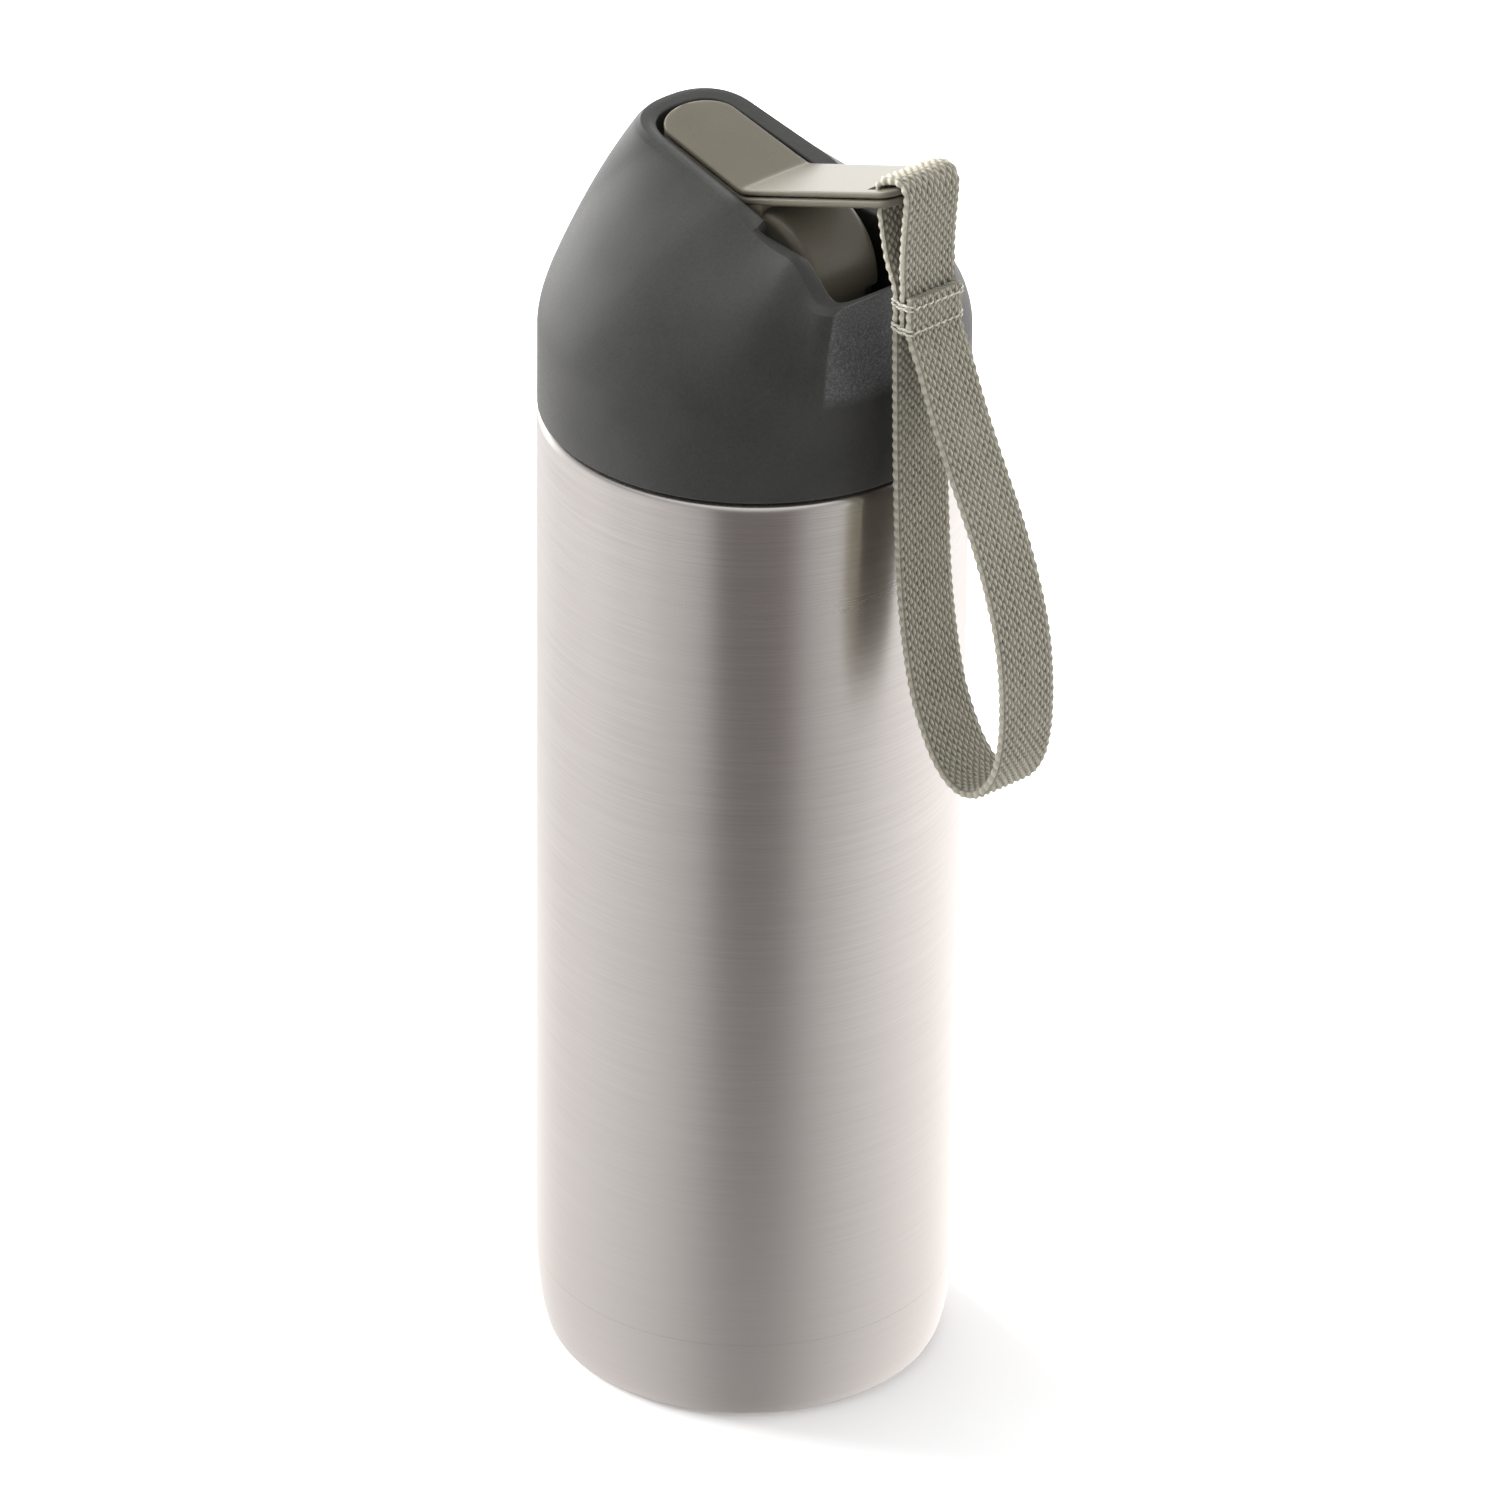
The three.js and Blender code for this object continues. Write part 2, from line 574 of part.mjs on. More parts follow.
// ---- strap ----
// Middle line of the webbing over the bar, a squared-off half oval in line with the tab.
function overBar() {
  const clear = GAP + WEB_T / 2;
  const across = TAB_T / 2 + clear + TURN_ROOM.over;
  const squareness = 2 / 3;
  const tilt = Math.atan(TAB_SLOPE);
  return arc(0, 0, 1, 180, 0, 10).map(([c, s]) => {
    const along = BAR.r + clear + (c < 0 ? TURN_ROOM.front : 0);
    const u = along * Math.sign(c) * Math.abs(c) ** squareness;
    const v = across * Math.abs(s) ** squareness;
    return [
      BAR.y + u * Math.cos(tilt) - v * Math.sin(tilt),
      tabTop(BAR.y) - TAB_T / 2 + u * Math.sin(tilt) + v * Math.cos(tilt),
    ];
  });
}

// Middle line of the webbing, [y, z], from the outer sewn layer over the bar and down to the inner one.
const UPPER_LOOP = [
  [SEWN_Y - LAYER, SEWN_LOW],
  [SEWN_Y - LAYER, 199],
  [-38.3, 203],
  [-38.9, 208.5],
  ...overBar(),
  [-33.2, 210.5],
  [-33.8, 207.5],
  [-35, 203],
  [-36.6, 199.4],
  [SEWN_Y, 197.4],
  [SEWN_Y, SEWN_LOW],
];

// The webbing's lower end, sewn on as the outermost layer.
const SEWN_END = [
  [SEWN_Y - 2 * LAYER, SEWN_HIGH],
  [SEWN_Y - 2 * LAYER, SEWN_LOW],
];

// From below that layer, down round the hand loop and back up to the inner layer.
const WRIST_LOOP = [
  [SEWN_Y - 2 * LAYER, SEWN_LOW - GAP],
  [-42.2, 188],
  [-45.6, 180.5],
  [-49.6, 173],
  [-54.4, 164.5],
  [-58.3, 156],
  [-61, 147.5],
  [-62, 139],
  [-61.8, 131.4],
  [-60.3, 125.6],
  [-57.7, 121.9],
  [-54.3, 120.1],
  [-50.8, 120.5],
  [-47.5, 123],
  [-44.9, 126.8],
  [-42.6, 131.6],
  [-40.8, 138],
  [-39.2, 147],
  [-38.3, 157],
  [-37.7, 168],
  [-37.3, 180],
  [SEWN_Y, SEWN_LOW - GAP],
];

// One row of stitching drawn as a thread ring round the sewn layers.
function stitchRow(z) {
  const back = SEWN_Y + WEB_T / 2 + GAP;
  const front = SEWN_Y - 2 * LAYER - WEB_T / 2 - GAP;
  const half = WEB_W / 2 + GAP;
  const thick = THREAD_T / 2;
  const edge = half + THREAD_T;
  const outer = boxAt(-edge, edge, front - THREAD_T, back + THREAD_T, z - thick, z + thick);
  return cut(outer, boxAt(-half, half, front, back, z - 1, z + 1));
}

// ---- assembly ----
const finish = (color, roughness, metalness) => ({ color, roughness, metalness });
const STEEL = finish(0xd2cdc6, 0.32, 1);
const STEEL_PLAIN = finish(0xb9b6b1, 0.4, 1);
const CAP_GREY = finish(0x4b4b49, 0.62, 0);
const LINER_GREY = finish(0x8b8b86, 0.6, 0);
const TAUPE = finish(0xb5ab9c, 0.48, 0);
const SILICONE = finish(0xc9c7c0, 0.75, 0);
const WEBBING = finish(0x9b9889, 0.92, 0);
const THREAD = finish(0xb4b0a2, 0.85, 0);
const PELLET = finish(0x6e6a66, 0.9, 0.3);

const bottle = new THREE.Group();
bottle.name = "water_bottle";

function addPiece(name, look, made) {
  const mesh = new THREE.Mesh(geometryOf(made), new THREE.MeshStandardMaterial(look));
  mesh.name = name;
  bottle.add(mesh);
}

addPiece("outer_shell", STEEL, outerShell());
addPiece("base_cup", STEEL, baseCup());
addPiece("inner_flask", STEEL_PLAIN, innerFlask());
addPiece("vacuum_plug", STEEL_PLAIN, vacuumPlug());
addPiece("getter", PELLET, getter());
addPiece("base_disc", STEEL_PLAIN, baseDisc());
addPiece("mouth_gasket", SILICONE, mouthGasket());
addPiece("cap_shell", CAP_GREY, capShell());
addPiece("cap_liner", LINER_GREY, capLiner());
addPiece("spout_seal", SILICONE, spoutSeal());
addPiece("vent_valve", SILICONE, ventValve());
addPiece("hinge_pin_left", STEEL_PLAIN, hingePin(-1));
addPiece("hinge_pin_right", STEEL_PLAIN, hingePin(1));
addPiece("spout_body", TAUPE, spoutBody());
addPiece("spout_cover", TAUPE, spoutCover());
addPiece("spout_tube", SILICONE, spoutTube());
addPiece("strap_upper_loop", WEBBING, strip(UPPER_LOOP));
addPiece("strap_sewn_end", WEBBING, strip(SEWN_END));
addPiece("strap_wrist_loop", WEBBING, strip(WRIST_LOOP));
for (const [row, z] of Object.entries(STITCH_ROWS)) addPiece("stitch_row_" + row, THREAD, stitchRow(z));

export default bottle;
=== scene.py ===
import math

import bmesh
import bpy
import numpy as np
from mathutils import Matrix, Vector


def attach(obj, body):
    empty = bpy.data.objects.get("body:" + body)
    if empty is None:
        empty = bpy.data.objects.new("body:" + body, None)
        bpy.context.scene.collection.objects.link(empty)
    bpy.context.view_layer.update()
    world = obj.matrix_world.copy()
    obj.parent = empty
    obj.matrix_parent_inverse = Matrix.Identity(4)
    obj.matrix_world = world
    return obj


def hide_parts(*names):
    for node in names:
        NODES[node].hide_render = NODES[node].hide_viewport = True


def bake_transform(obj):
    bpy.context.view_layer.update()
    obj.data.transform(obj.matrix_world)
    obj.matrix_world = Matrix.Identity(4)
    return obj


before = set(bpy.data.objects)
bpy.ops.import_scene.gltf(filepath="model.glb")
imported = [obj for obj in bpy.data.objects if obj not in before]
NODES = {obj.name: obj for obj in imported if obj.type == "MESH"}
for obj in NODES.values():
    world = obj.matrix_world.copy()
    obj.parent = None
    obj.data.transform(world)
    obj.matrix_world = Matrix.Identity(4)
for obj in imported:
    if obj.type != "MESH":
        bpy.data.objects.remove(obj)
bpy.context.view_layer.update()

MM = 0.001

# ---- dimensions shared with the CAD, in millimetres ----
BODY_R = 33.0
TAPER = 2.6
TAPER_H = 18.3
SHEET = 0.8
WELD_Z = 14.0
WELD_GAP = 0.03
SHOULDER_Z = 163.0
NECK_R = 26.2
NECK_TOP = 172.6
FOOT_IN = 24.8
FOOT_OUT = 29.6
PLATE_Z = 2.2
CAP_Z = 163.4
CAP_STRAIGHT_Z = 177.0
CAP_WAIST = 1.75
SHELL_IN_R = 30.7
DECK_TOP = 177.3
TROUGH_BACK_HALF = 7.2
TROUGH_FRONT_HALF = 8.9
TROUGH_BACK_Y = 12.0
TROUGH_BACK_REACH = 6.2
TROUGH_FRONT_Y = -26.4
TROUGH_FRONT_REACH = 2.9
RIM_BAND_BACK = 3.2
RIM_BAND_MID = 3.4
RIM_BAND_FRONT = 4.3
RIM_BAND_LIP = 1.5
CREST_DROP = 0.9
EDGE_ROUND = 0.45
RIM_Z = 203.75
RIM_SLOPE = 0.18
STEP_Y = -11.5
LEDGE_Z = 199.3
LIP_Z = 194.8
CREST = 0.45
CREST_SHARE = 0.72
HUB_Y = -9.4
HUB_Z = 190.3
HUB_R = 11.5
HUB_ROOM = 0.7
WELL_Z = 184.0
SEAT_R = 7.2
PIN_BORE_R = 1.8
PANEL_Z = 204.2
PANEL_SLOPE = 0.185
TAB_Z = 201.8
TAB_SLOPE = -0.376
TAB_END_Y = -37.9
TAB_T = 2.75
COVER_T = 1.05
BODY_DEPTH = 1.35
BAR_DEPTH = 7.7
LEVER_HALF_W = 6.9
MOUTH_HALF_W = 6.6
MOUTH_Y = 12.3
MOUTH_REACH = 4.8
BAR_Y = -35.8
BAR_R = 2.1
BAR_Z = TAB_Z + TAB_SLOPE * BAR_Y - TAB_T / 2
WEB_W = 10.3
WEB_T = 1.2
SEWN_Y = -37.0
LAYER = 1.5


# ---- node and mesh helpers ----
def node(tree, kind, inputs=None, **settings):
    made = tree.nodes.new(kind)
    for key, value in settings.items():
        setattr(made, key, value)
    for key, value in (inputs or {}).items():
        socket = made.inputs[key]
        if isinstance(value, bpy.types.NodeSocket):
            tree.links.new(value, socket)
        else:
            socket.default_value = value
    return made


def math_node(tree, operation, a, b=0.0, c=0.0):
    made = node(tree, "ShaderNodeMath", {0: a, 1: b, 2: c}, operation=operation)
    return made.outputs[0]


def weighted(tree, a, share_a, b, share_b):
    part_a = math_node(tree, "MULTIPLY", a, share_a)
    part_b = math_node(tree, "MULTIPLY", b, share_b)
    return math_node(tree, "ADD", part_a, part_b)


def remap(tree, value, low, high, to_low, to_high, smooth=False):
    kind = "SMOOTHSTEP" if smooth else "LINEAR"
    made = node(
        tree,
        "ShaderNodeMapRange",
        {"Value": value, "From Min": low, "From Max": high, "To Min": to_low, "To Max": to_high},
        interpolation_type=kind,
    )
    return made.outputs["Result"]


def mix_color(tree, factor, a, b):
    made = tree.nodes.new("ShaderNodeMix")
    made.data_type = "RGBA"
    for index, value in ((0, factor), (6, a), (7, b)):
        if isinstance(value, bpy.types.NodeSocket):
            tree.links.new(value, made.inputs[index])
        else:
            made.inputs[index].default_value = value
    return made.outputs[2]


def stretched_noise(tree, scale, stretch=(1, 1, 1), detail=3.0):
    place = node(tree, "ShaderNodeTexCoord").outputs["Object"]
    mapped = node(tree, "ShaderNodeMapping", {"Vector": place, "Scale": stretch})
    made = node(
        tree,
        "ShaderNodeTexNoise",
        {"Vector": mapped.outputs[0], "Scale": scale, "Detail": detail},
    )
    return made.outputs["Fac"]


def bump(tree, height, strength, distance):
    inputs = {"Height": height, "Strength": strength, "Distance": distance}
    return node(tree, "ShaderNodeBump", inputs).outputs["Normal"]


def new_material(name, **constants):
    material = bpy.data.materials.new(name)
    material.use_nodes = True
    tree = material.node_tree
    shader = tree.nodes["Principled BSDF"]
    for key, value in constants.items():
        shader.inputs[key.replace("_", " ")].default_value = value
    return material, tree, shader


def make(name, points, faces, material, sharp_degrees=40):
    mesh = bpy.data.meshes.new(name)
    mesh.from_pydata([tuple(c * MM for c in p) for p in points], [], faces)
    mesh.validate()
    mesh.update()
    piece = bpy.data.objects.new(name, mesh)
    bpy.context.scene.collection.objects.link(piece)
    mesh.polygons.foreach_set("use_smooth", [True] * len(mesh.polygons))
    mesh.set_sharp_from_angle(angle=math.radians(sharp_degrees))
    if material:
        mesh.materials.append(material)
    return piece


def bridge(rows, columns, closed_rows=False):
    """Quads between rows of points, where each row is a closed ring."""
    faces = []
    for r in range(rows if closed_rows else rows - 1):
        low = r * columns
        high = ((r + 1) % rows) * columns
        for c in range(columns):
            d = (c + 1) % columns
            faces.append((low + c, low + d, high + d, high + c))
    return faces


def boolean(piece, tool, operation):
    modifier = piece.modifiers.new("cut", "BOOLEAN")
    modifier.operation = operation
    modifier.object = tool
    modifier.solver = "EXACT"
    bpy.context.view_layer.objects.active = piece
    with bpy.context.temp_override(object=piece, active_object=piece):
        bpy.ops.object.modifier_apply(modifier="cut")
    bpy.data.objects.remove(tool)
    return piece


def finish_surface(piece, sharp_degrees=40):
    mesh = piece.data
    mesh.polygons.foreach_set("use_smooth", [True] * len(mesh.polygons))
    mesh.set_sharp_from_angle(angle=math.radians(sharp_degrees))


def arc(cx, cy, radius, start, end, steps):
    out = []
    for i in range(steps + 1):
        a = math.radians(start + (end - start) * i / steps)
        out.append((cx + radius * math.cos(a), cy + radius * math.sin(a)))
    return out


def circle(cx, cy, radius, segments):
    angles = [2 * math.pi * i / segments for i in range(segments)]
    return [(cx + radius * math.cos(a), cy + radius * math.sin(a)) for a in angles]


def prism(name, rings, material=None, sharp_degrees=40):
    """A closed solid through rings of points, capped at both ends."""
    count = len(rings[0])
    last = (len(rings) - 1) * count
    faces = bridge(len(rings), count)
    faces.append(tuple(reversed(range(count))))
    faces.append(tuple(range(last, last + count)))
    points = [point for ring in rings for point in ring]
    return outward(make(name, points, faces, material, sharp_degrees))


def lathe(name, outline, material, segments=192):
    """A closed outline of (r, z) turned round the bottle's axis."""
    points = []
    for r, z in outline:
        points += [(x, y, z) for x, y in circle(0, 0, r, segments)]
    return outward(make(name, points, bridge(len(outline), segments, True), material))


def tube_x(name, cy, cz, radius, x0, x1, segments=64):
    """A plain closed cylinder along X, used as a cutting tool."""
    rings = [[(x, y, z) for y, z in circle(cy, cz, radius, segments)] for x in (x0, x1)]
    return prism(name, rings)


def tube_z(name, radius, z0, z1, cy, segments=48):
    """A plain closed cylinder along Z, used as a cutting tool."""
    rings = [[(x, y, z) for x, y in circle(0, cy, radius, segments)] for z in (z0, z1)]
    return prism(name, rings)


def box_tool(name, low, high, tilt=0.0, about=(0, 0)):
    """A closed box, tilted about X at the given (y, z), used as a cutting tool."""
    points = []
    for x in (low[0], high[0]):
        for y in (low[1], high[1]):
            for z in (low[2], high[2]):
                ty = about[0] + y * math.cos(tilt) - z * math.sin(tilt)
                tz = about[1] + y * math.sin(tilt) + z * math.cos(tilt)
                points.append((x, ty, tz))
    faces = [(0, 1, 3, 2), (4, 6, 7, 5), (0, 4, 5, 1), (2, 3, 7, 6), (0, 2, 6, 4), (1, 5, 7, 3)]
    return outward(make(name, points, faces, None))


def outward(piece):
    """Turns every face outwards."""
    work = bmesh.new()
    work.from_mesh(piece.data)
    bmesh.ops.recalc_face_normals(work, faces=work.faces)
    if work.calc_volume(signed=True) < 0:
        bmesh.ops.reverse_faces(work, faces=work.faces)
    work.to_mesh(piece.data)
    work.free()
    return piece


def smoothstep(x, low, high):
    t = min(1.0, max(0.0, (x - low) / (high - low)))
    return t * t * (3 - 2 * t)


def lerp(a, b, t):
    return a + (b - a) * t


# ---- camera, lights and floor ----
AZIMUTH = math.radians(-41.7)
ELEVATION = math.radians(29.88)
ROLL = 0.0112
TARGET = Vector((0, 0, 0.1022))
DISTANCE = 1.8648
LENS = 289.587


def add_camera():
    data = bpy.data.cameras.new("camera")
    data.sensor_width = 36
    data.lens = LENS
    data.clip_start = 0.05
    data.clip_end = 50
    camera = bpy.data.objects.new("camera", data)
    bpy.context.scene.collection.objects.link(camera)
    back = Vector(
        (
            math.sin(AZIMUTH) * math.cos(ELEVATION),
            -math.cos(AZIMUTH) * math.cos(ELEVATION),
            math.sin(ELEVATION),
        )
    )
    right = Vector((math.cos(AZIMUTH), math.sin(AZIMUTH), 0))
    up = back.cross(right)
    turned_right = right * math.cos(ROLL) + up * math.sin(ROLL)
    turned_up = up * math.cos(ROLL) - right * math.sin(ROLL)
    place = Matrix((turned_right, turned_up, back)).transposed().to_4x4()
    place.translation = TARGET + back * DISTANCE
    camera.matrix_world = place
    bpy.context.scene.camera = camera


# Brightness of the studio round the bottle, by degrees from the front: negative is left.
STUDIO = (
    (-180, 0.8), (-150, 0.95), (-125, 0.88), (-95, 0.84), (-65, 0.70), (-42, 0.56),
    (-28, 0.46), (-21, 0.33), (-16, 0.19), (-8, 0.165), (6, 0.165), (17, 0.18),
    (24, 0.27), (32, 0.42), (44, 0.52), (58, 0.65), (78, 0.81), (98, 0.99),
    (125, 1.2), (150, 1.2), (180, 0.8),
)


def build_world():
    world = bpy.data.worlds.new("studio")
    bpy.context.scene.world = world
    world.use_nodes = True
    tree = world.node_tree
    background = tree.nodes["Background"]
    direction = node(tree, "ShaderNodeTexCoord").outputs["Generated"]
    parts = node(tree, "ShaderNodeSeparateXYZ", {0: direction}).outputs
    flipped = math_node(tree, "MULTIPLY", parts[1], -1.0)
    azimuth = math_node(tree, "ARCTAN2", parts[0], flipped)
    from_front = math_node(tree, "SUBTRACT", azimuth, AZIMUTH)
    wrapped = node(
        tree,
        "ShaderNodeMath",
        {0: from_front, 1: math.pi, 2: -math.pi},
        operation="WRAP",
    ).outputs[0]
    share = remap(tree, wrapped, -math.pi, math.pi, 0.0, 1.0)
    ramp = node(tree, "ShaderNodeValToRGB", {"Fac": share})
    ramp.color_ramp.interpolation = "EASE"
    stops = ramp.color_ramp.elements
    while len(stops) < len(STUDIO):
        stops.new(0.5)
    for stop, (degrees, _) in zip(stops, STUDIO):
        stop.position = (degrees + 180) / 360
    for stop, (_, level) in zip(stops, STUDIO):
        tone = level / 2
        warmth = 0.06 if level < 0.3 else 0.015
        stop.color = (tone * (1 + warmth), tone * (1 - warmth / 2), tone * (1 - warmth / 3), 1)
    up = parts[2]
    behind = remap(tree, math_node(tree, "ABSOLUTE", wrapped), 1.9, 2.7, 0.0, 1.0, True)
    glow_low = remap(tree, up, -0.32, -0.12, 0.0, 1.0, True)
    glow_high = remap(tree, up, 0.2, 0.42, 1.0, 0.0, True)
    glow = math_node(tree, "MULTIPLY", math_node(tree, "MULTIPLY", behind, glow_low), glow_high)
    overhead = remap(tree, up, 0.25, 0.6, 0.0, 1.0, True)
    sky = remap(tree, up, 0.55, 0.95, 0.34, 1.0, True)
    share_of_ring = math_node(tree, "MULTIPLY_ADD", overhead, -2.0, 2.0)
    ring = node(
        tree,
        "ShaderNodeVectorMath",
        {0: ramp.outputs["Color"], "Scale": share_of_ring},
        operation="SCALE",
    ).outputs[0]
    above = math_node(tree, "MULTIPLY_ADD", glow, 1.65, math_node(tree, "MULTIPLY", sky, overhead))
    whole = node(tree, "ShaderNodeVectorMath", {0: ring, 1: above}, operation="ADD").outputs[0]
    seen = node(tree, "ShaderNodeLightPath").outputs["Is Camera Ray"]
    tree.links.new(mix_color(tree, seen, whole, (1, 1, 1, 1)), background.inputs["Color"])


def add_area(name, place, aim, size, power):
    data = bpy.data.lights.new(name, "AREA")
    data.size = size
    data.energy = power
    lamp = bpy.data.objects.new(name, data)
    bpy.context.scene.collection.objects.link(lamp)
    lamp.location = place
    lamp.rotation_mode = "QUATERNION"
    lamp.rotation_quaternion = (Vector(aim) - Vector(place)).to_track_quat("-Z", "Y")
    lamp.visible_glossy = False


def around(degrees_from_front, height, distance):
    a = AZIMUTH + math.radians(degrees_from_front)
    return (distance * math.sin(a), -distance * math.cos(a), height)


FLOOR_HALF = 6000
FLOOR_Z = -0.05


def add_floor():
    material, tree, shader = new_material("floor", Roughness=0.9)
    speck = stretched_noise(tree, 40)
    shade = mix_color(tree, speck, (0.80, 0.80, 0.80, 1), (0.82, 0.82, 0.82, 1))
    tree.links.new(shade, shader.inputs["Base Color"])
    half = FLOOR_HALF
    corners = ((-half, -half), (half, -half), (half, half), (-half, half))
    points = [(x, y, FLOOR_Z) for x, y in corners]
    floor = make("floor", points, [(0, 1, 2, 3)], material)
    floor.visible_glossy = False


# ---- materials ----
def steel_material():
    material, tree, shader = new_material(
        "brushed_steel", Metallic=1.0, Anisotropic=0.75, Anisotropic_Rotation=0.25
    )
    tangent = node(tree, "ShaderNodeTangent", direction_type="RADIAL", axis="Z")
    tree.links.new(tangent.outputs[0], shader.inputs["Tangent"])
    streaks = stretched_noise(tree, 1.0, (70, 70, 4200), 3)
    bands = stretched_noise(tree, 1.0, (25, 25, 700), 1)
    cloud = stretched_noise(tree, 55, (1, 1, 0.5), 2)
    mixed = weighted(tree, streaks, 0.8, bands, 0.2)
    tone = remap(tree, mixed, 0.3, 0.7, 0.0, 1.0)
    color = mix_color(tree, tone, (0.735, 0.695, 0.66, 1), (0.835, 0.80, 0.765, 1))
    clouded = mix_color(tree, remap(tree, cloud, 0.35, 0.75, 0.0, 0.25), color, (0.72, 0.685, 0.655, 1))
    place = node(tree, "ShaderNodeTexCoord").outputs["Object"]
    height = node(tree, "ShaderNodeSeparateXYZ", {0: place}).outputs[2]
    # Painted reflection: the base colour is lighter towards the bottom, standing in for the bright
    # floor reflected in the lower steel.
    low = remap(tree, height, 0.0, 0.11, 0.7, 0.0)
    tree.links.new(mix_color(tree, low, clouded, (0.97, 0.93, 0.895, 1)), shader.inputs["Base Color"])
    worn = remap(tree, height, 0.0, 0.165, 0.66, 0.22)
    rough = math_node(tree, "MULTIPLY_ADD", mixed, 0.04, worn)
    tree.links.new(math_node(tree, "SUBTRACT", rough, 0.02), shader.inputs["Roughness"])
    tree.links.new(bump(tree, streaks, 0.01, 0.00001), shader.inputs["Normal"])
    return material


def plain_steel_material():
    material, tree, shader = new_material("plain_steel", Metallic=1.0)
    fine = stretched_noise(tree, 900, (1, 1, 1), 3)
    color = mix_color(tree, fine, (0.60, 0.59, 0.57, 1), (0.72, 0.71, 0.69, 1))
    tree.links.new(color, shader.inputs["Base Color"])
    tree.links.new(remap(tree, fine, 0.3, 0.7, 0.3, 0.45), shader.inputs["Roughness"])
    tree.links.new(bump(tree, fine, 0.1, 0.00005), shader.inputs["Normal"])
    return material


def scoop_speckle_and_painted_light(tree, color):
    """The finger scoop's speckled finish, with a paler tone painted on the facet as the light that
    falls on it.
    """
    place = node(tree, "ShaderNodeTexCoord").outputs["Object"]
    parts = node(tree, "ShaderNodeSeparateXYZ", {0: place}).outputs
    front = remap(tree, parts[1], -0.0304, -0.0302, 1.0, 0.0)
    high = remap(tree, parts[2], 0.1785, 0.181, 0.0, 1.0)
    speckle = remap(tree, stretched_noise(tree, 3200, (1, 1, 1), 2), 0.4, 0.65, 0.25, 1.0)
    share = math_node(tree, "MULTIPLY", math_node(tree, "MULTIPLY", front, high), speckle)
    # Painted light: the facet's colour is mixed towards a paler grey, broken up by the real speckle.
    return mix_color(tree, share, color, (0.105, 0.107, 0.111, 1))


def moulded_material(name, dark, light, roughness, grain=2600, grain_depth=0.00006, scoop=False):
    """Moulded plastic or rubber with a fine eroded texture."""
    material, tree, shader = new_material(name)
    fine = stretched_noise(tree, grain, (1, 1, 1), 4)
    wide = stretched_noise(tree, 90, (1, 1, 1), 2)
    tone = weighted(tree, fine, 0.6, wide, 0.4)
    color = mix_color(tree, remap(tree, tone, 0.3, 0.7, 0.0, 1.0), dark, light)
    # The scoop's facet gets its speckle and its painted light here.
    if scoop:
        color = scoop_speckle_and_painted_light(tree, color)
    tree.links.new(color, shader.inputs["Base Color"])
    rough = remap(tree, fine, 0.3, 0.7, roughness - 0.05, roughness + 0.06)
    tree.links.new(rough, shader.inputs["Roughness"])
    if grain_depth:
        tree.links.new(bump(tree, fine, 0.35, grain_depth), shader.inputs["Normal"])
    return material


def webbing_material():
    material, tree, shader = new_material(
        "webbing", Roughness=0.8, Sheen_Weight=0.05, Sheen_Roughness=0.5
    )
    shader.inputs["Specular IOR Level"].default_value = 0.12
    painted_weave_shade = node(tree, "ShaderNodeAttribute", attribute_name="painted_weave_shade").outputs["Fac"]
    yarn = stretched_noise(tree, 5200, (1, 1, 0.35), 3)
    wear = stretched_noise(tree, 160, (1, 1, 1), 2)
    # Painted shade: the colour is much darker where the height share is low, in the valleys between the
    # pebbles and between the edge loops.
    base = mix_color(tree, painted_weave_shade, (0.075, 0.07, 0.054, 1), (0.38, 0.36, 0.295, 1))
    dusty = mix_color(tree, remap(tree, yarn, 0.35, 0.7, 0.0, 0.4), base, (0.44, 0.42, 0.35, 1))
    worn = mix_color(tree, remap(tree, wear, 0.4, 0.8, 0.0, 0.25), dusty, (0.36, 0.34, 0.28, 1))
    tree.links.new(worn, shader.inputs["Base Color"])
    tree.links.new(bump(tree, yarn, 0.5, 0.00012), shader.inputs["Normal"])
    return material


def thread_material():
    material, tree, shader = new_material("thread", Roughness=0.7, Sheen_Weight=0.2)
    place = node(tree, "ShaderNodeTexCoord").outputs["Object"]
    twist = node(
        tree,
        "ShaderNodeTexWave",
        {"Vector": place, "Scale": 900.0, "Distortion": 1.0},
        bands_direction="DIAGONAL",
    ).outputs["Fac"]
    color = mix_color(tree, twist, (0.36, 0.345, 0.29, 1), (0.56, 0.54, 0.47, 1))
    tree.links.new(color, shader.inputs["Base Color"])
    tree.links.new(bump(tree, twist, 0.5, 0.00008), shader.inputs["Normal"])
    return material


# ---- steel body ----
def tapered_r(z):
    down = 1 - min(z, TAPER_H) / TAPER_H
    return BODY_R - TAPER * (1 - math.sqrt(1 - down * down))


def steel_shell(material):
    edge = 1.6
    fillet = 1.2
    low = WELD_Z + WELD_GAP / 2
    wall = [low + (TAPER_H - low) * i / 5 for i in range(6)]
    outline = [(tapered_r(z), z) for z in wall]
    outline += [(BODY_R, z) for z in (60, 110, 150)]
    outline += arc(BODY_R - edge, SHOULDER_Z - edge, edge, 0, 90, 10)
    outline += arc(NECK_R + fillet, SHOULDER_Z + fillet, fillet, 270, 180, 6)
    outline += [
        (NECK_R, NECK_TOP),
        (NECK_R - SHEET, NECK_TOP),
        (NECK_R - SHEET, SHOULDER_Z + fillet),
        (NECK_R + fillet, SHOULDER_Z - SHEET),
        (BODY_R - edge, SHOULDER_Z - SHEET),
        (BODY_R - SHEET, SHOULDER_Z - edge),
        (BODY_R - SHEET, TAPER_H),
        (tapered_r(low) - SHEET, low),
    ]
    shell = lathe("body_shell", outline, material)
    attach(shell, "bottle")
    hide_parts("outer_shell")


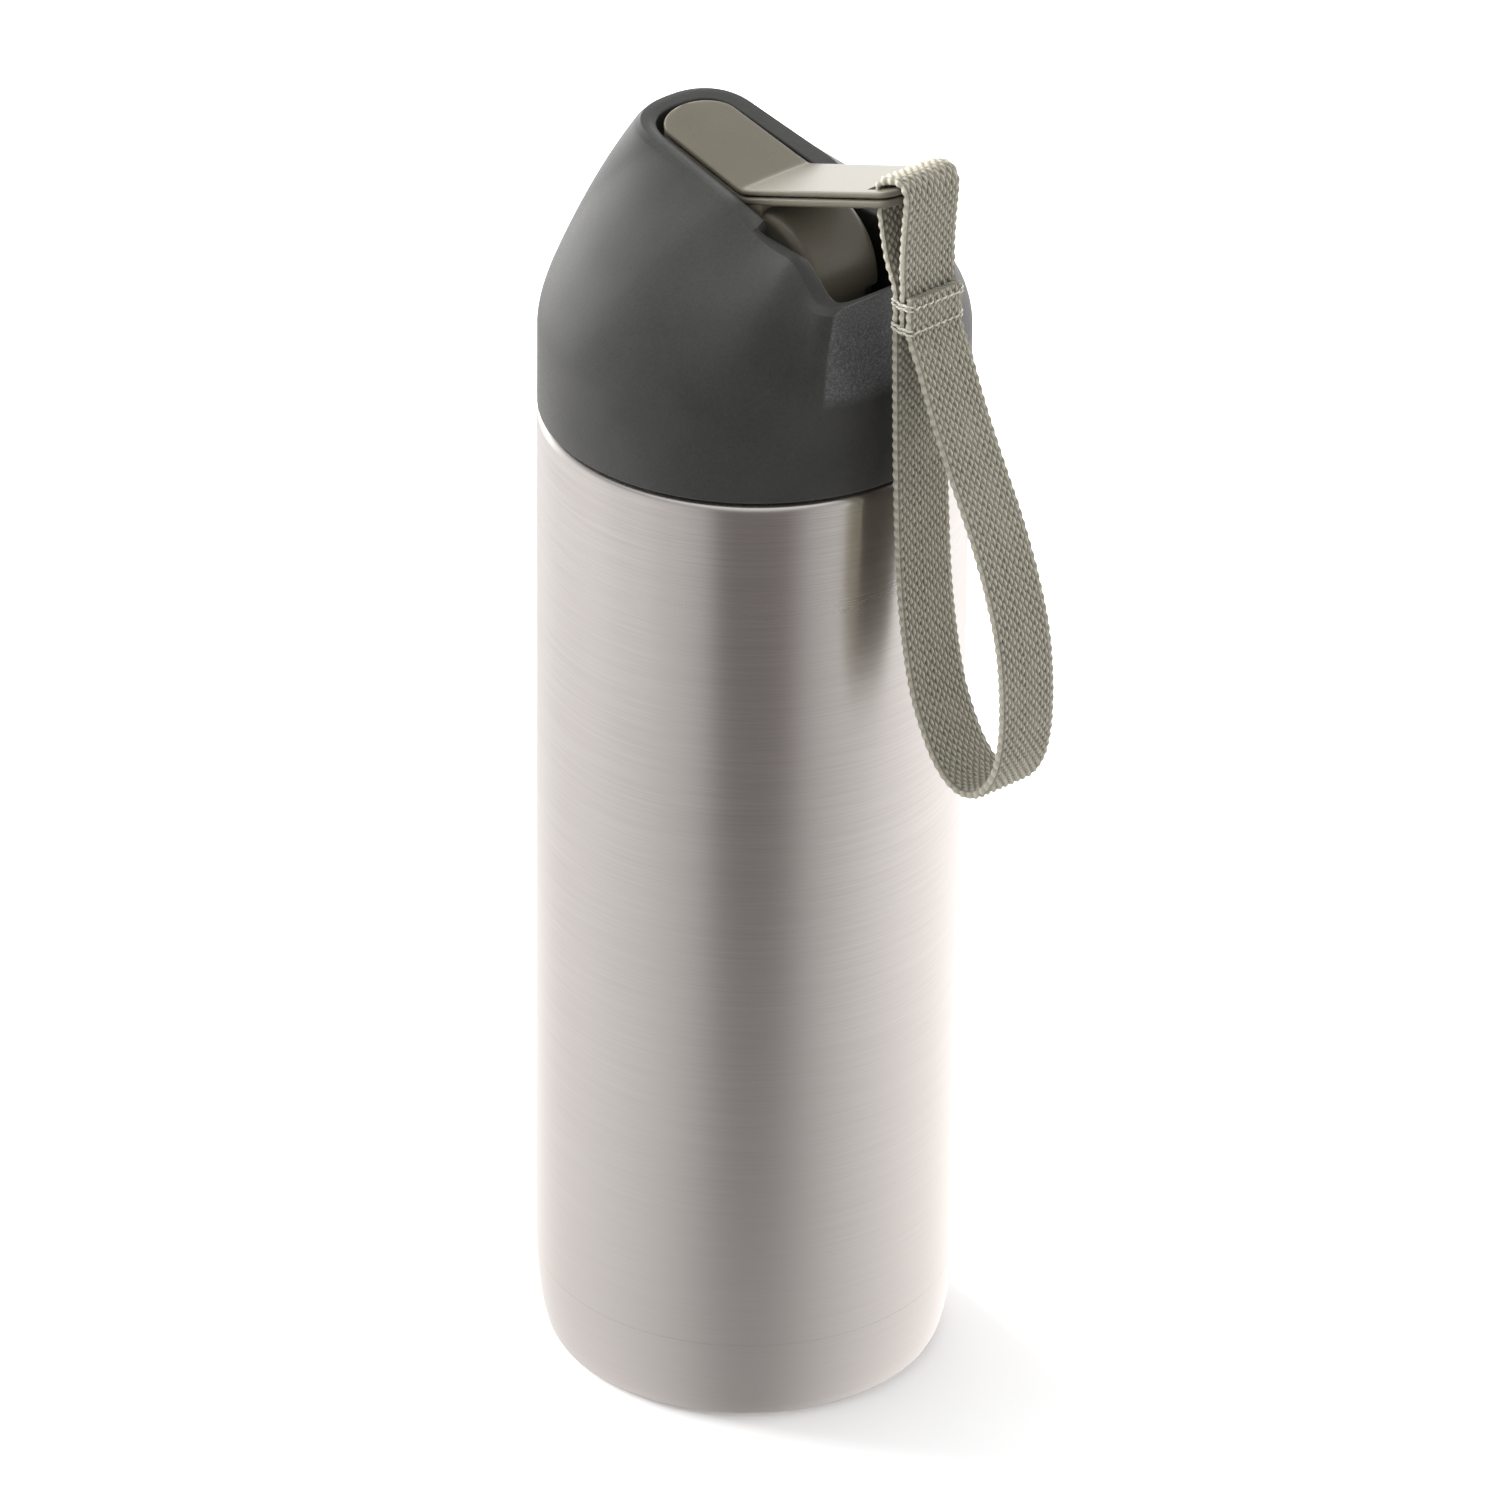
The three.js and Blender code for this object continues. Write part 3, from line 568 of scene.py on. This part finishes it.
def steel_base(material):
    top = WELD_Z - WELD_GAP / 2
    plate_top = PLATE_Z + SHEET
    heights = [top - (top - 0.3) * (i / 16) for i in range(17)]
    outline = [(tapered_r(z), z) for z in heights]
    outline += [
        (FOOT_OUT + 0.35, 0.05),
        (FOOT_OUT, 0),
        (FOOT_IN + 0.3, 0),
        (FOOT_IN, 0.3),
        (FOOT_IN, PLATE_Z),
        (2.2, PLATE_Z),
        (2.2, plate_top),
        (FOOT_OUT - SHEET, plate_top),
        (tapered_r(7) - SHEET, 7),
        (tapered_r(top) - SHEET, top),
    ]
    base = lathe("base_shell", outline, material)
    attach(base, "bottle")
    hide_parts("base_cup")


def neck_thread(material):
    """The rolled thread round the neck, one and a quarter turns."""
    turns = 1.25
    pitch = 4.0
    start_z = 166.4
    height = 1.85
    steps = 200
    fade_steps = 12
    rings = []
    for i in range(steps + 1):
        share = min(1.0, i / fade_steps, (steps - i) / fade_steps)
        a = 2 * math.pi * turns * i / steps
        z = start_z + pitch * turns * i / steps
        crest = NECK_R - 0.15 + height * math.sin(share * math.pi / 2)
        section = [(NECK_R - 0.4, -1.3), (lerp(NECK_R, crest, 0.75), -0.7), (crest, -0.25)]
        section += [(crest, 0.25), (lerp(NECK_R, crest, 0.75), 0.7), (NECK_R - 0.4, 1.3)]
        rings.append([(r * math.cos(a), r * math.sin(a), z + h) for r, h in section])
    thread = prism("neck_thread", rings, material, 60)
    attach(thread, "bottle")


# ---- cap ----
def edge_z(y):
    if y > STEP_Y:
        return RIM_Z + RIM_SLOPE * y
    return lerp(LEDGE_Z, LIP_Z, smoothstep(-y, 20.5, 28.6))


def roll_z(y):
    rim = RIM_Z + RIM_SLOPE * y + CREST
    ledge = lerp(LEDGE_Z + CREST, LIP_Z, smoothstep(-y, 20.5, 28.6))
    return lerp(rim, ledge, smoothstep(-y, 4, 18))


def trough_half():
    """The trough's outline from the back centre to the front centre: x, y, angle, rim width."""
    half = []
    back_steps = 22
    for i in range(back_steps, -1, -1):
        a = i / back_steps * math.pi / 2
        x = TROUGH_BACK_HALF * max(math.cos(a), 0.0) ** 0.8
        y = TROUGH_BACK_Y + TROUGH_BACK_REACH * math.sin(a) ** 0.8
        half.append((x, y, a, lerp(RIM_BAND_MID, RIM_BAND_BACK, i / back_steps)))
    half[0] = (0.0, half[0][1], math.pi / 2, RIM_BAND_BACK)
    sides = list(np.linspace(11.2, STEP_Y + 0.6, 26))
    sides += [STEP_Y + 0.25, STEP_Y + 0.08, STEP_Y - 0.08, STEP_Y - 0.25]
    sides += list(np.linspace(STEP_Y - 0.6, -25.8, 22))
    for y in sides:
        along = (TROUGH_BACK_Y - y) / (TROUGH_BACK_Y - TROUGH_FRONT_Y)
        x = lerp(TROUGH_BACK_HALF, TROUGH_FRONT_HALF, along)
        half.append((x, y, 0.0, lerp(RIM_BAND_MID, RIM_BAND_FRONT, along)))
    front_steps = 40
    for i in range(front_steps + 1):
        a = i / front_steps * math.pi / 2
        x = TROUGH_FRONT_HALF * max(math.cos(a), 0.0) ** 0.4
        y = TROUGH_FRONT_Y - TROUGH_FRONT_REACH * math.sin(a) ** 0.4
        half.append((x, y, -a, lerp(RIM_BAND_FRONT, RIM_BAND_LIP, i / front_steps)))
    half[-1] = (0.0, half[-1][1], -math.pi / 2, RIM_BAND_LIP)
    return half


def scoop_y(z):
    heights = (178, 180, 183, 187, 191, 200)
    faces = (-33.4, -32.3, -31.5, -30.9, -30.65, -30.6)
    return float(np.interp(z, heights, faces))


def scooped(x, y, z):
    """The finger scoop flattens the front of the cap, with a crisp but not sharp edge."""
    if z < 177.5:
        return (x, y, z)
    face = scoop_y(z)
    soft = 0.05
    gap = y - face
    return (x, face + 0.5 * (gap + math.sqrt(gap * gap + soft * soft)), z)


def cap_columns():
    half = trough_half()
    lengths = [0.0]
    for (x0, y0, *_), (x1, y1, *_) in zip(half, half[1:]):
        lengths.append(lengths[-1] + math.hypot(x1 - x0, y1 - y0))
    angles = [math.pi * length / lengths[-1] for length in lengths]
    right = [(*column, angle) for column, angle in zip(half, angles)]
    left = [(-x, y, math.pi - a, band, -angle) for x, y, a, band, angle in right[1:-1]][::-1]
    return right + left


def floor_z(y):
    base = PANEL_Z - BAR_DEPTH - HUB_ROOM + PANEL_SLOPE * y if y > HUB_Y else WELL_Z
    room = HUB_R + HUB_ROOM
    reach = room * room - (y - HUB_Y) ** 2
    return min(base, HUB_Z - math.sqrt(reach)) if reach > 0 else base


def moved_out(column, extra):
    x, y, a, band, _ = column
    return (x + extra * math.cos(a), y + extra * math.sin(a))


def cap_rows(columns):
    rows = []

    def ring(radius, z):
        rows.append([(radius * math.sin(c[4]), radius * math.cos(c[4]), z) for c in columns])

    ring(BODY_R - 0.75, CAP_Z)
    for k in range(1, 6):
        a = k / 5 * math.pi / 2
        ring(BODY_R - 0.6 * (1 - math.sin(a)), CAP_Z + 0.6 * (1 - math.cos(a)))
    for z in (168, 172.5):
        ring(BODY_R, z)
    side_steps = 44
    for i in range(side_steps + 1):
        t = i / side_steps
        pull = t ** CAP_WAIST
        row = []
        for c in columns:
            ox, oy = moved_out(c, c[3])
            height = roll_z(c[1]) - CREST_DROP
            px = lerp(BODY_R * math.sin(c[4]), ox, pull)
            py = lerp(BODY_R * math.cos(c[4]), oy, pull)
            row.append(scooped(px, py, lerp(CAP_STRAIGHT_Z, height, t)))
        rows.append(row)
    for k in range(1, 9):
        a = k / 8 * math.pi / 2
        row = []
        for c in columns:
            out = c[3] * (1 - (1 - CREST_SHARE) * math.sin(a))
            ox, oy = moved_out(c, out)
            row.append(scooped(ox, oy, roll_z(c[1]) - CREST_DROP * (1 - math.sin(a))))
        rows.append(row)
    for k in range(1, 6):
        t = k / 5
        row = []
        for c in columns:
            out = lerp(c[3] * CREST_SHARE, EDGE_ROUND, t)
            ox, oy = moved_out(c, out)
            height = lerp(roll_z(c[1]), edge_z(c[1]), t ** 2.6)
            row.append(scooped(ox, oy, height))
        rows.append(row)
    for k in range(1, 6):
        a = k / 5 * math.pi / 2
        row = []
        for c in columns:
            ox, oy = moved_out(c, EDGE_ROUND * (1 - math.sin(a)))
            row.append((ox, oy, edge_z(c[1]) - EDGE_ROUND * (1 - math.cos(a))))
        rows.append(row)
    for k in range(1, 9):
        t = k / 8
        row = []
        for c in columns:
            row.append((c[0], c[1], lerp(edge_z(c[1]) - EDGE_ROUND, floor_z(c[1]), t)))
        rows.append(row)
    return rows


def strip_across(first, columns, flip):
    """Quads that close a ring whose halves mirror each other in X."""
    faces = []
    half = columns // 2
    for i in range(half):
        a, b = i, i + 1
        c, d = (columns - i - 1) % columns, (columns - i) % columns
        loop = [first + k for k in dict.fromkeys((a, b, c, d))]
        faces.append(tuple(reversed(loop)) if flip else tuple(loop))
    return faces


def cap_piece(material):
    columns = cap_columns()
    count = len(columns)
    rows = cap_rows(columns)
    points = [point for row in rows for point in row]
    faces = bridge(len(rows), count)
    faces.append(tuple(reversed(range(count))))
    faces += strip_across((len(rows) - 1) * count, count, False)
    cap = outward(make("cap_body", points, faces, material))
    liner_room = tube_z("hollow_tool", SHELL_IN_R, CAP_Z - 2, DECK_TOP + 0.3, 0, 96)
    seal_seat = tube_z("seat_tool", SEAT_R, DECK_TOP - 5, HUB_Z, HUB_Y)
    pin_bore = tube_x("pin_tool", HUB_Y, HUB_Z, PIN_BORE_R, -12, 12)
    for tool in (liner_room, seal_seat, pin_bore):
        boolean(cap, tool, "DIFFERENCE")
    finish_surface(cap, 24)
    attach(cap, "cap")
    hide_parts("cap_shell")


# ---- spout ----
def spine_z(y):
    """The lever's top line, with the crease between panel and tab slightly softened."""
    panel = PANEL_Z + PANEL_SLOPE * y
    tab = TAB_Z + TAB_SLOPE * y
    soft = 0.35
    gap = panel - tab
    return tab + 0.5 * (gap + math.sqrt(gap * gap + soft * soft))


def lever_half():
    """The lever's plan from the mouth's middle to the tab's middle, x >= 0, with outward angles."""
    half = []
    for i in range(17):
        a = math.pi / 2 * (1 - i / 16)
        x, y = MOUTH_HALF_W * math.cos(a), MOUTH_Y + MOUTH_REACH * math.sin(a)
        angle = math.atan2(math.sin(a) / MOUTH_REACH, math.cos(a) / MOUTH_HALF_W)
        half.append((x, y, angle))
    for y in np.linspace(11.2, -1.5, 14):
        half.append((lerp(MOUTH_HALF_W, LEVER_HALF_W, (MOUTH_Y - y) / 16.6), float(y), 0.0))
    for y in (*np.linspace(-2.2, -6.5, 14), *np.linspace(-8, -34, 24)):
        half.append((LEVER_HALF_W, float(y), 0.0))
    corner = 3.0
    bulge = 0.35
    for i in range(13):
        a = -i / 12 * math.pi / 2
        x = LEVER_HALF_W - corner + corner * math.cos(a)
        y = TAB_END_Y + corner + corner * math.sin(a)
        half.append((x, y, a))
    for x in (2.6, 1.3, 0.0):
        half.append((x, TAB_END_Y - bulge * (1 - (x / 3.9) ** 2), -math.pi / 2))
    half[0] = (0.0, half[0][1], math.pi / 2)
    return half


def plate(name, y_low, y_high, upper, lower, edge, material, crown=0.0, inset=0.0):
    """Part of the lever between two depths under its top line, with rounded long edges."""
    half = [p for p in lever_half() if y_low <= p[1] <= y_high]
    open_back = half[0][0] > 0.01
    open_front = half[-1][0] > 0.01
    if open_back:
        half = [(0.0, half[0][1], math.pi / 2)] + half
    if open_front:
        half = half + [(0.0, half[-1][1], -math.pi / 2)]
    columns = half + [(-x, y, math.pi - a) for x, y, a in half[1:-1]][::-1]
    count = len(columns)
    rounds = 5
    rows = []

    def row(push, depth):
        out = []
        for x, y, a in columns:
            px, py = x + (push - inset) * math.cos(a), y + (push - inset) * math.sin(a)
            out.append((px, py, spine_z(y) - depth))
        rows.append(out)

    across = 8
    for k in range(rounds + 1):
        a = k / rounds * math.pi / 2
        row(-edge * (1 - math.sin(a)), lower - edge * (1 - math.cos(a)))
    for k in range(rounds + 1):
        a = k / rounds * math.pi / 2
        row(-edge * (1 - math.cos(a)), upper + edge * (1 - math.sin(a)))
    for k in range(1, across):
        t = k / across
        ring = []
        for px, py, pz in rows[2 * rounds + 1]:
            rise = crown * (1 - (1 - t) ** 2)
            ring.append((px * (1 - t), py, pz + rise))
        rows.append(ring)
    points = [point for r in rows for point in r]
    faces = bridge(len(rows), count)
    faces += strip_across(0, count, True)
    faces += strip_across((len(rows) - 1) * count, count, False)
    piece = outward(make(name, points, faces, material))
    return merged(piece)


def merged(piece):
    """Joins coincident points."""
    work = bmesh.new()
    work.from_mesh(piece.data)
    bmesh.ops.remove_doubles(work, verts=work.verts, dist=1e-6)
    bmesh.ops.dissolve_degenerate(work, dist=1e-7, edges=work.edges)
    work.to_mesh(piece.data)
    work.free()
    return outward(piece)


def hub_drum(material):
    """The drum the spout turns on, with its side edges well rounded."""
    fillet = 1.7
    steps = 8
    segments = 160
    left = []
    for k in range(steps + 1):
        a = k / steps * math.pi / 2
        left.append((-LEVER_HALF_W + fillet * (1 - math.cos(a)), fillet * (1 - math.sin(a))))
    sides = left + [(-x, drop) for x, drop in left[::-1]]
    rings = []
    for x, drop in sides:
        outline = arc(HUB_Y, HUB_Z, HUB_R - drop, 0, 360, segments)[:-1]
        rings.append([(x, y, z) for y, z in outline])
    return prism("hub_drum", rings, material)


def stadium(name, half_width, half_height, from_y, to_y, material=None, wall=0.0):
    """A stadium-section bar, or a tube of that outside, along the spout's slope."""

    def ring(width, height, y):
        flat = width - height
        outline = arc(flat, 0, height, -90, 90, 16) + arc(-flat, 0, height, 90, 270, 16)
        middle = PANEL_Z + PANEL_SLOPE * y - BODY_DEPTH - (BAR_DEPTH - BODY_DEPTH) / 2
        return [(x, y, middle + z) for x, z in outline]

    rows = [ring(half_width, half_height, from_y), ring(half_width, half_height, to_y)]
    if not wall:
        return prism(name, rows, material)
    rows.append(ring(half_width - wall, half_height - wall, to_y))
    rows.append(ring(half_width - wall, half_height - wall, from_y))
    points = [point for row in rows for point in row]
    return outward(make(name, points, bridge(len(rows), len(rows[0]), True), material))


def slot_tool():
    """The strap's slot, from the round bar back."""
    tilt = math.atan(TAB_SLOPE)
    tool = box_tool("slot_tool", (-5.5, 0.4, -6), (5.5, 4.8, 6), tilt, (BAR_Y, BAR_Z))
    return boolean(tool, tube_x("bar_tool", BAR_Y, BAR_Z, BAR_R, -20, 20), "DIFFERENCE")


def spout_pieces(material, tube_material):
    cover = plate("spout_top", -60, 60, 0.0, COVER_T, 0.4, material, 0.12)
    boolean(cover, slot_tool(), "DIFFERENCE")
    finish_surface(cover, 35)
    body = plate("spout_lever", -60, 60, BODY_DEPTH, TAB_T, 0.5, material)
    block = plate("spout_block", HUB_Y, 60, BODY_DEPTH + 0.37, BAR_DEPTH, 0.9, material, 0.0, 0.06)
    boolean(body, hub_drum(material), "UNION")
    boolean(body, block, "UNION")
    boolean(body, stadium("flow_tool", 4.5, 2.5, -4, 20), "DIFFERENCE")
    inlet = tube_z("inlet_tool", 2.6, -HUB_R - 1, 9.5, 0)
    inlet.data.transform(Matrix.Rotation(math.radians(-37), 4, "X"))
    inlet.data.transform(Matrix.Translation(Vector((0, HUB_Y, HUB_Z)) * MM))
    boolean(body, inlet, "DIFFERENCE")
    boolean(body, slot_tool(), "DIFFERENCE")
    for side in (-1, 1):
        low, high = sorted((3.3 * side, 8 * side))
        boolean(body, tube_x("bore_tool", HUB_Y, HUB_Z, PIN_BORE_R, low, high), "DIFFERENCE")
        low, high = sorted((3.5 * side, 8 * side))
        notch = box_tool("notch_tool", (low, -21.9, 184.5), (high, -18.5, 190))
        boolean(body, notch, "DIFFERENCE")
    finish_surface(body, 35)
    tube = stadium("mouth_tube", 4.2, 2.2, -3.4, 16.6, tube_material, 0.7)
    for piece, names, slot in (
        (cover, ["spout_cover"], "taupe"),
        (body, ["spout_body"], "taupe"),
        (tube, ["spout_tube"], "silicone"),
    ):
        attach(piece, "spout")
        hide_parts(*names)


# ---- strap ----
def over_bar():
    clear = 0.3 + WEB_T / 2
    tilt = math.atan(TAB_SLOPE)
    out = []
    steps = 20
    for i in range(steps + 1):
        a = math.pi * (1 - i / steps)
        c, s = math.cos(a), math.sin(a)
        u = (BAR_R + clear + (0.35 if c < 0 else 0.0)) * math.copysign(abs(c) ** (2 / 3), c)
        v = (TAB_T / 2 + clear + 0.2) * abs(s) ** (2 / 3)
        out.append(
            (
                BAR_Y + u * math.cos(tilt) - v * math.sin(tilt),
                BAR_Z + u * math.sin(tilt) + v * math.cos(tilt),
            )
        )
    return out


WRIST_LINE = (
    (-37, 191.7), (-37.3, 180), (-37.7, 168), (-38.3, 157), (-39.2, 147), (-40.8, 138),
    (-42.6, 131.6), (-44.9, 126.8), (-47.5, 123), (-50.8, 120.5), (-54.3, 120.1),
    (-57.7, 121.9), (-60.3, 125.6), (-61.8, 131.4), (-62, 139), (-61, 147.5), (-58.3, 156),
    (-54.4, 164.5), (-49.6, 173), (-45.6, 180.5), (-42.2, 188), (-40.2, 191.9), (-40, 194),
    (-40, 196), (-40, 198.4),
)


def strap_line():
    line = [(-38.5, 192), (-38.5, 196), (-38.5, 199), (-38.3, 203), (-38.5, 208)]
    line += over_bar()
    line += [(-33.2, 210.5), (-33.8, 207.5), (-35, 203), (-36.6, 199.4), (-37, 197.2), (-37, 194.5)]
    return line + list(WRIST_LINE)


def resampled(line, step):
    """A smooth curve through the line's points, with points a step apart."""
    source = np.array(line, float)
    padded = np.vstack([2 * source[0] - source[1], source, 2 * source[-1] - source[-2]])
    fine = []
    for i in range(1, len(padded) - 2):
        p0, p1, p2, p3 = padded[i - 1 : i + 3]
        knots = [0.0]
        for a, b in ((p0, p1), (p1, p2), (p2, p3)):
            knots.append(knots[-1] + max(np.linalg.norm(b - a), 1e-6) ** 0.5)
        t0, t1, t2, t3 = knots
        for t in np.linspace(t1, t2, 16, endpoint=False):
            a1 = (t1 - t) / (t1 - t0) * p0 + (t - t0) / (t1 - t0) * p1
            a2 = (t2 - t) / (t2 - t1) * p1 + (t - t1) / (t2 - t1) * p2
            a3 = (t3 - t) / (t3 - t2) * p2 + (t - t2) / (t3 - t2) * p3
            b1 = (t2 - t) / (t2 - t0) * a1 + (t - t0) / (t2 - t0) * a2
            b2 = (t3 - t) / (t3 - t1) * a2 + (t - t1) / (t3 - t1) * a3
            fine.append((t2 - t) / (t2 - t1) * b1 + (t - t1) / (t2 - t1) * b2)
    fine.append(source[-1])
    fine = np.array(fine)
    run = np.concatenate([[0], np.cumsum(np.linalg.norm(np.diff(fine, axis=0), axis=1))])
    count = int(run[-1] / step)
    at = np.linspace(0, run[-1], count + 1)
    return np.stack([np.interp(at, run, fine[:, k]) for k in range(2)], 1), at


COLUMNS = 16
PITCH_ALONG = 1.64
EDGE_STEPS = 5
BEAD_INSET = 0.35


def weave_height(along, across, side):
    """Height of the woven face in mm, and its share of the full height, which also sets the colour: low
    shares are painted dark as shade in the valleys.
    """
    width = WEB_W - 2 * BEAD_INSET
    place = (across + width / 2) / width * COLUMNS
    column = min(COLUMNS - 1, max(0, int(place)))
    inside = 2 * (place - column) - 1
    phase = math.pi * (column % 2) + (math.pi / 2 if side < 0 else 0.0)
    wobble = 0.3 * math.sin(column * 7.3 + along * 0.5)
    pebble = 0.5 + 0.5 * math.cos(2 * math.pi * along / PITCH_ALONG + phase + wobble)
    rounded = math.sqrt(max(0.0, 1 - inside * inside * 0.98))
    share = rounded * (0.06 + 0.94 * pebble ** 0.65)
    return -0.27 + 0.5 * share, share


def strap_section(along):
    """One closed section of the webbing: (across, out, share) for each point round it."""
    section = []
    half = WEB_W / 2 - BEAD_INSET
    steps = COLUMNS * 3
    for side in (1, -1):
        for k in range(steps + 1):
            across = (-half + 2 * half * k / steps) * side
            rise, share = weave_height(along, across, side)
            section.append((across, side * (WEB_T / 2 + rise), share))
        bead = 0.5 + 0.5 * math.cos(2 * math.pi * along / PITCH_ALONG + (0 if side > 0 else 2))
        reach = 0.2 + 0.3 * bead
        for k in range(1, EDGE_STEPS):
            a = math.pi * k / EDGE_STEPS
            out = side * (WEB_T / 2 - 0.05 + 0.1 * bead) * math.cos(a)
            # The bead's share also paints shade between the weft loops at the edge.
            section.append((side * (half + reach * math.sin(a) + 0.1), out, 0.45 + 0.5 * bead))
    return section


def strap_piece(material):
    line, at = resampled(strap_line(), 0.29)
    tangents = np.gradient(line, axis=0)
    tangents /= np.linalg.norm(tangents, axis=1)[:, None]
    rings = []
    weave_shade_shares = []
    for (y, z), (ty, tz), along in zip(line, tangents, at):
        section = strap_section(along)
        rings.append([(across, y - tz * out, z + ty * out) for across, out, _ in section])
        weave_shade_shares += [share for *_, share in section]
    strap = prism("strap_webbing", rings, material, 80)
    # The height share goes to the colour as painted shade in the weave's valleys.
    attribute = strap.data.attributes.new("painted_weave_shade", "FLOAT", "POINT")
    attribute.data.foreach_set("value", np.array(weave_shade_shares, np.float32))
    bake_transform(strap)
    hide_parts("strap_upper_loop", "strap_sewn_end", "strap_wrist_loop")


def capsule_path(points, path, radius, sides=8):
    """Adds a closed round thread along a short path to points, and returns its faces."""
    first = len(points)
    path = [Vector(p) for p in path]
    for i, p in enumerate(path):
        ahead = path[min(i + 1, len(path) - 1)] - path[max(i - 1, 0)]
        ahead.normalize()
        reference = Vector((0, 0, 1)) if abs(ahead.z) < 0.8 else Vector((0, 1, 0))
        u = ahead.cross(reference).normalized()
        v = ahead.cross(u)
        r = radius * (0.45 if i in (0, len(path) - 1) else 1.0)
        for k in range(sides):
            a = 2 * math.pi * k / sides
            points.append(tuple(p + u * (r * math.cos(a)) + v * (r * math.sin(a))))
    faces = []
    for i in range(len(path) - 1):
        for k in range(sides):
            m = (k + 1) % sides
            low, high = first + i * sides, first + (i + 1) * sides
            faces.append((low + k, low + m, high + m, high + k))
    faces.append(tuple(reversed(range(first, first + sides))))
    last = first + (len(path) - 1) * sides
    faces.append(tuple(range(last, last + sides)))
    return faces


def stitch_row(name, node_name, z, material):
    """A row of lockstitches over the outer layer and round both edges of the three layers."""
    points = []
    faces = []
    face_y = SEWN_Y - 2 * LAYER - WEB_T / 2 - 0.16
    back_y = SEWN_Y + WEB_T / 2 + 0.16
    stitches = 7
    pitch = (WEB_W - 1.0) / stitches
    radius = 0.17
    for y, out in ((face_y, -1), (back_y, 1)):
        for i in range(stitches):
            x0 = -WEB_W / 2 + 0.5 + pitch * (i + 0.06)
            x1 = x0 + pitch * 0.88
            path = []
            for k in range(7):
                t = k / 6
                lift = math.sin(math.pi * t)
                path.append((lerp(x0, x1, t), y + out * (0.14 * lift - 0.12), z + 0.25 * (t - 0.5)))
            faces += capsule_path(points, path, radius)
    for side in (-1, 1):
        for offset in (-0.32, 0.32):
            path = []
            for k in range(15):
                t = k / 14
                y = lerp(face_y + 0.1, back_y - 0.1, t)
                swell = 0.16 * math.sin(3 * math.pi * t) ** 2
                wrap = min(1.0, t / 0.08, (1 - t) / 0.08)
                x = side * (WEB_W / 2 - 0.4 + 0.55 * wrap + swell)
                path.append((x, y, z + offset + 0.12 * math.sin(9 * t + offset)))
            faces += capsule_path(points, path, 0.22)
    row = outward(make(name, points, faces, material, 60))
    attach(row, "strap")
    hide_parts(node_name)


# ---- assembly ----
# Name, darker and lighter colour, roughness, grain scale, grain depth and whether it has the scoop's
# speckle and painted light.
MOULDED = (
    ("cap_grey", (0.023, 0.023, 0.0219, 1), (0.040, 0.040, 0.0384, 1), 0.46, 2400, 0.0001, True),
    ("liner_grey", (0.10, 0.10, 0.10, 1), (0.15, 0.15, 0.148, 1), 0.5),
    ("taupe", (0.092, 0.083, 0.062, 1), (0.110, 0.099, 0.075, 1), 0.32, 5200, 0.0),
    ("silicone", (0.30, 0.29, 0.275, 1), (0.37, 0.36, 0.345, 1), 0.55, 1500),
    ("getter_alloy", (0.24, 0.24, 0.25, 1), (0.34, 0.34, 0.35, 1), 0.6, 3000),
)
STITCH_ROWS = (("upper", 197.0), ("lower", 193.0))


def paint(names, material):
    for name in names:
        piece = NODES[name]
        piece.data.materials.clear()
        piece.data.materials.append(material)


def main():
    bpy.context.scene.view_settings.view_transform = "Standard"
    add_camera()
    build_world()
    add_floor()
    add_area("left_light", around(-126, 0.25, 1.1), (0, 0, 0.15), 1.0, 85)
    add_area("right_light", around(92, 0.5, 1.2), (0, 0, 0.12), 1.0, 11)
    add_area("top_light", (0, 0.1, 1.4), (0, 0, 0), 0.9, 11.5)
    steel = steel_material()
    plain = plain_steel_material()
    moulded = {finish[0]: moulded_material(*finish) for finish in MOULDED}
    steel_shell(steel)
    steel_base(steel)
    neck_thread(steel)
    cap_piece(moulded["cap_grey"])
    spout_pieces(moulded["taupe"], moulded["silicone"])
    strap_piece(webbing_material())
    thread = thread_material()
    for name, z in STITCH_ROWS:
        stitch_row("stitches_" + name, "stitch_row_" + name, z, thread)
    paint(["inner_flask", "vacuum_plug", "base_disc", "hinge_pin_left", "hinge_pin_right"], plain)
    paint(["getter"], moulded["getter_alloy"])
    paint(["mouth_gasket", "spout_seal", "vent_valve"], moulded["silicone"])
    paint(["cap_liner"], moulded["liner_grey"])


main()
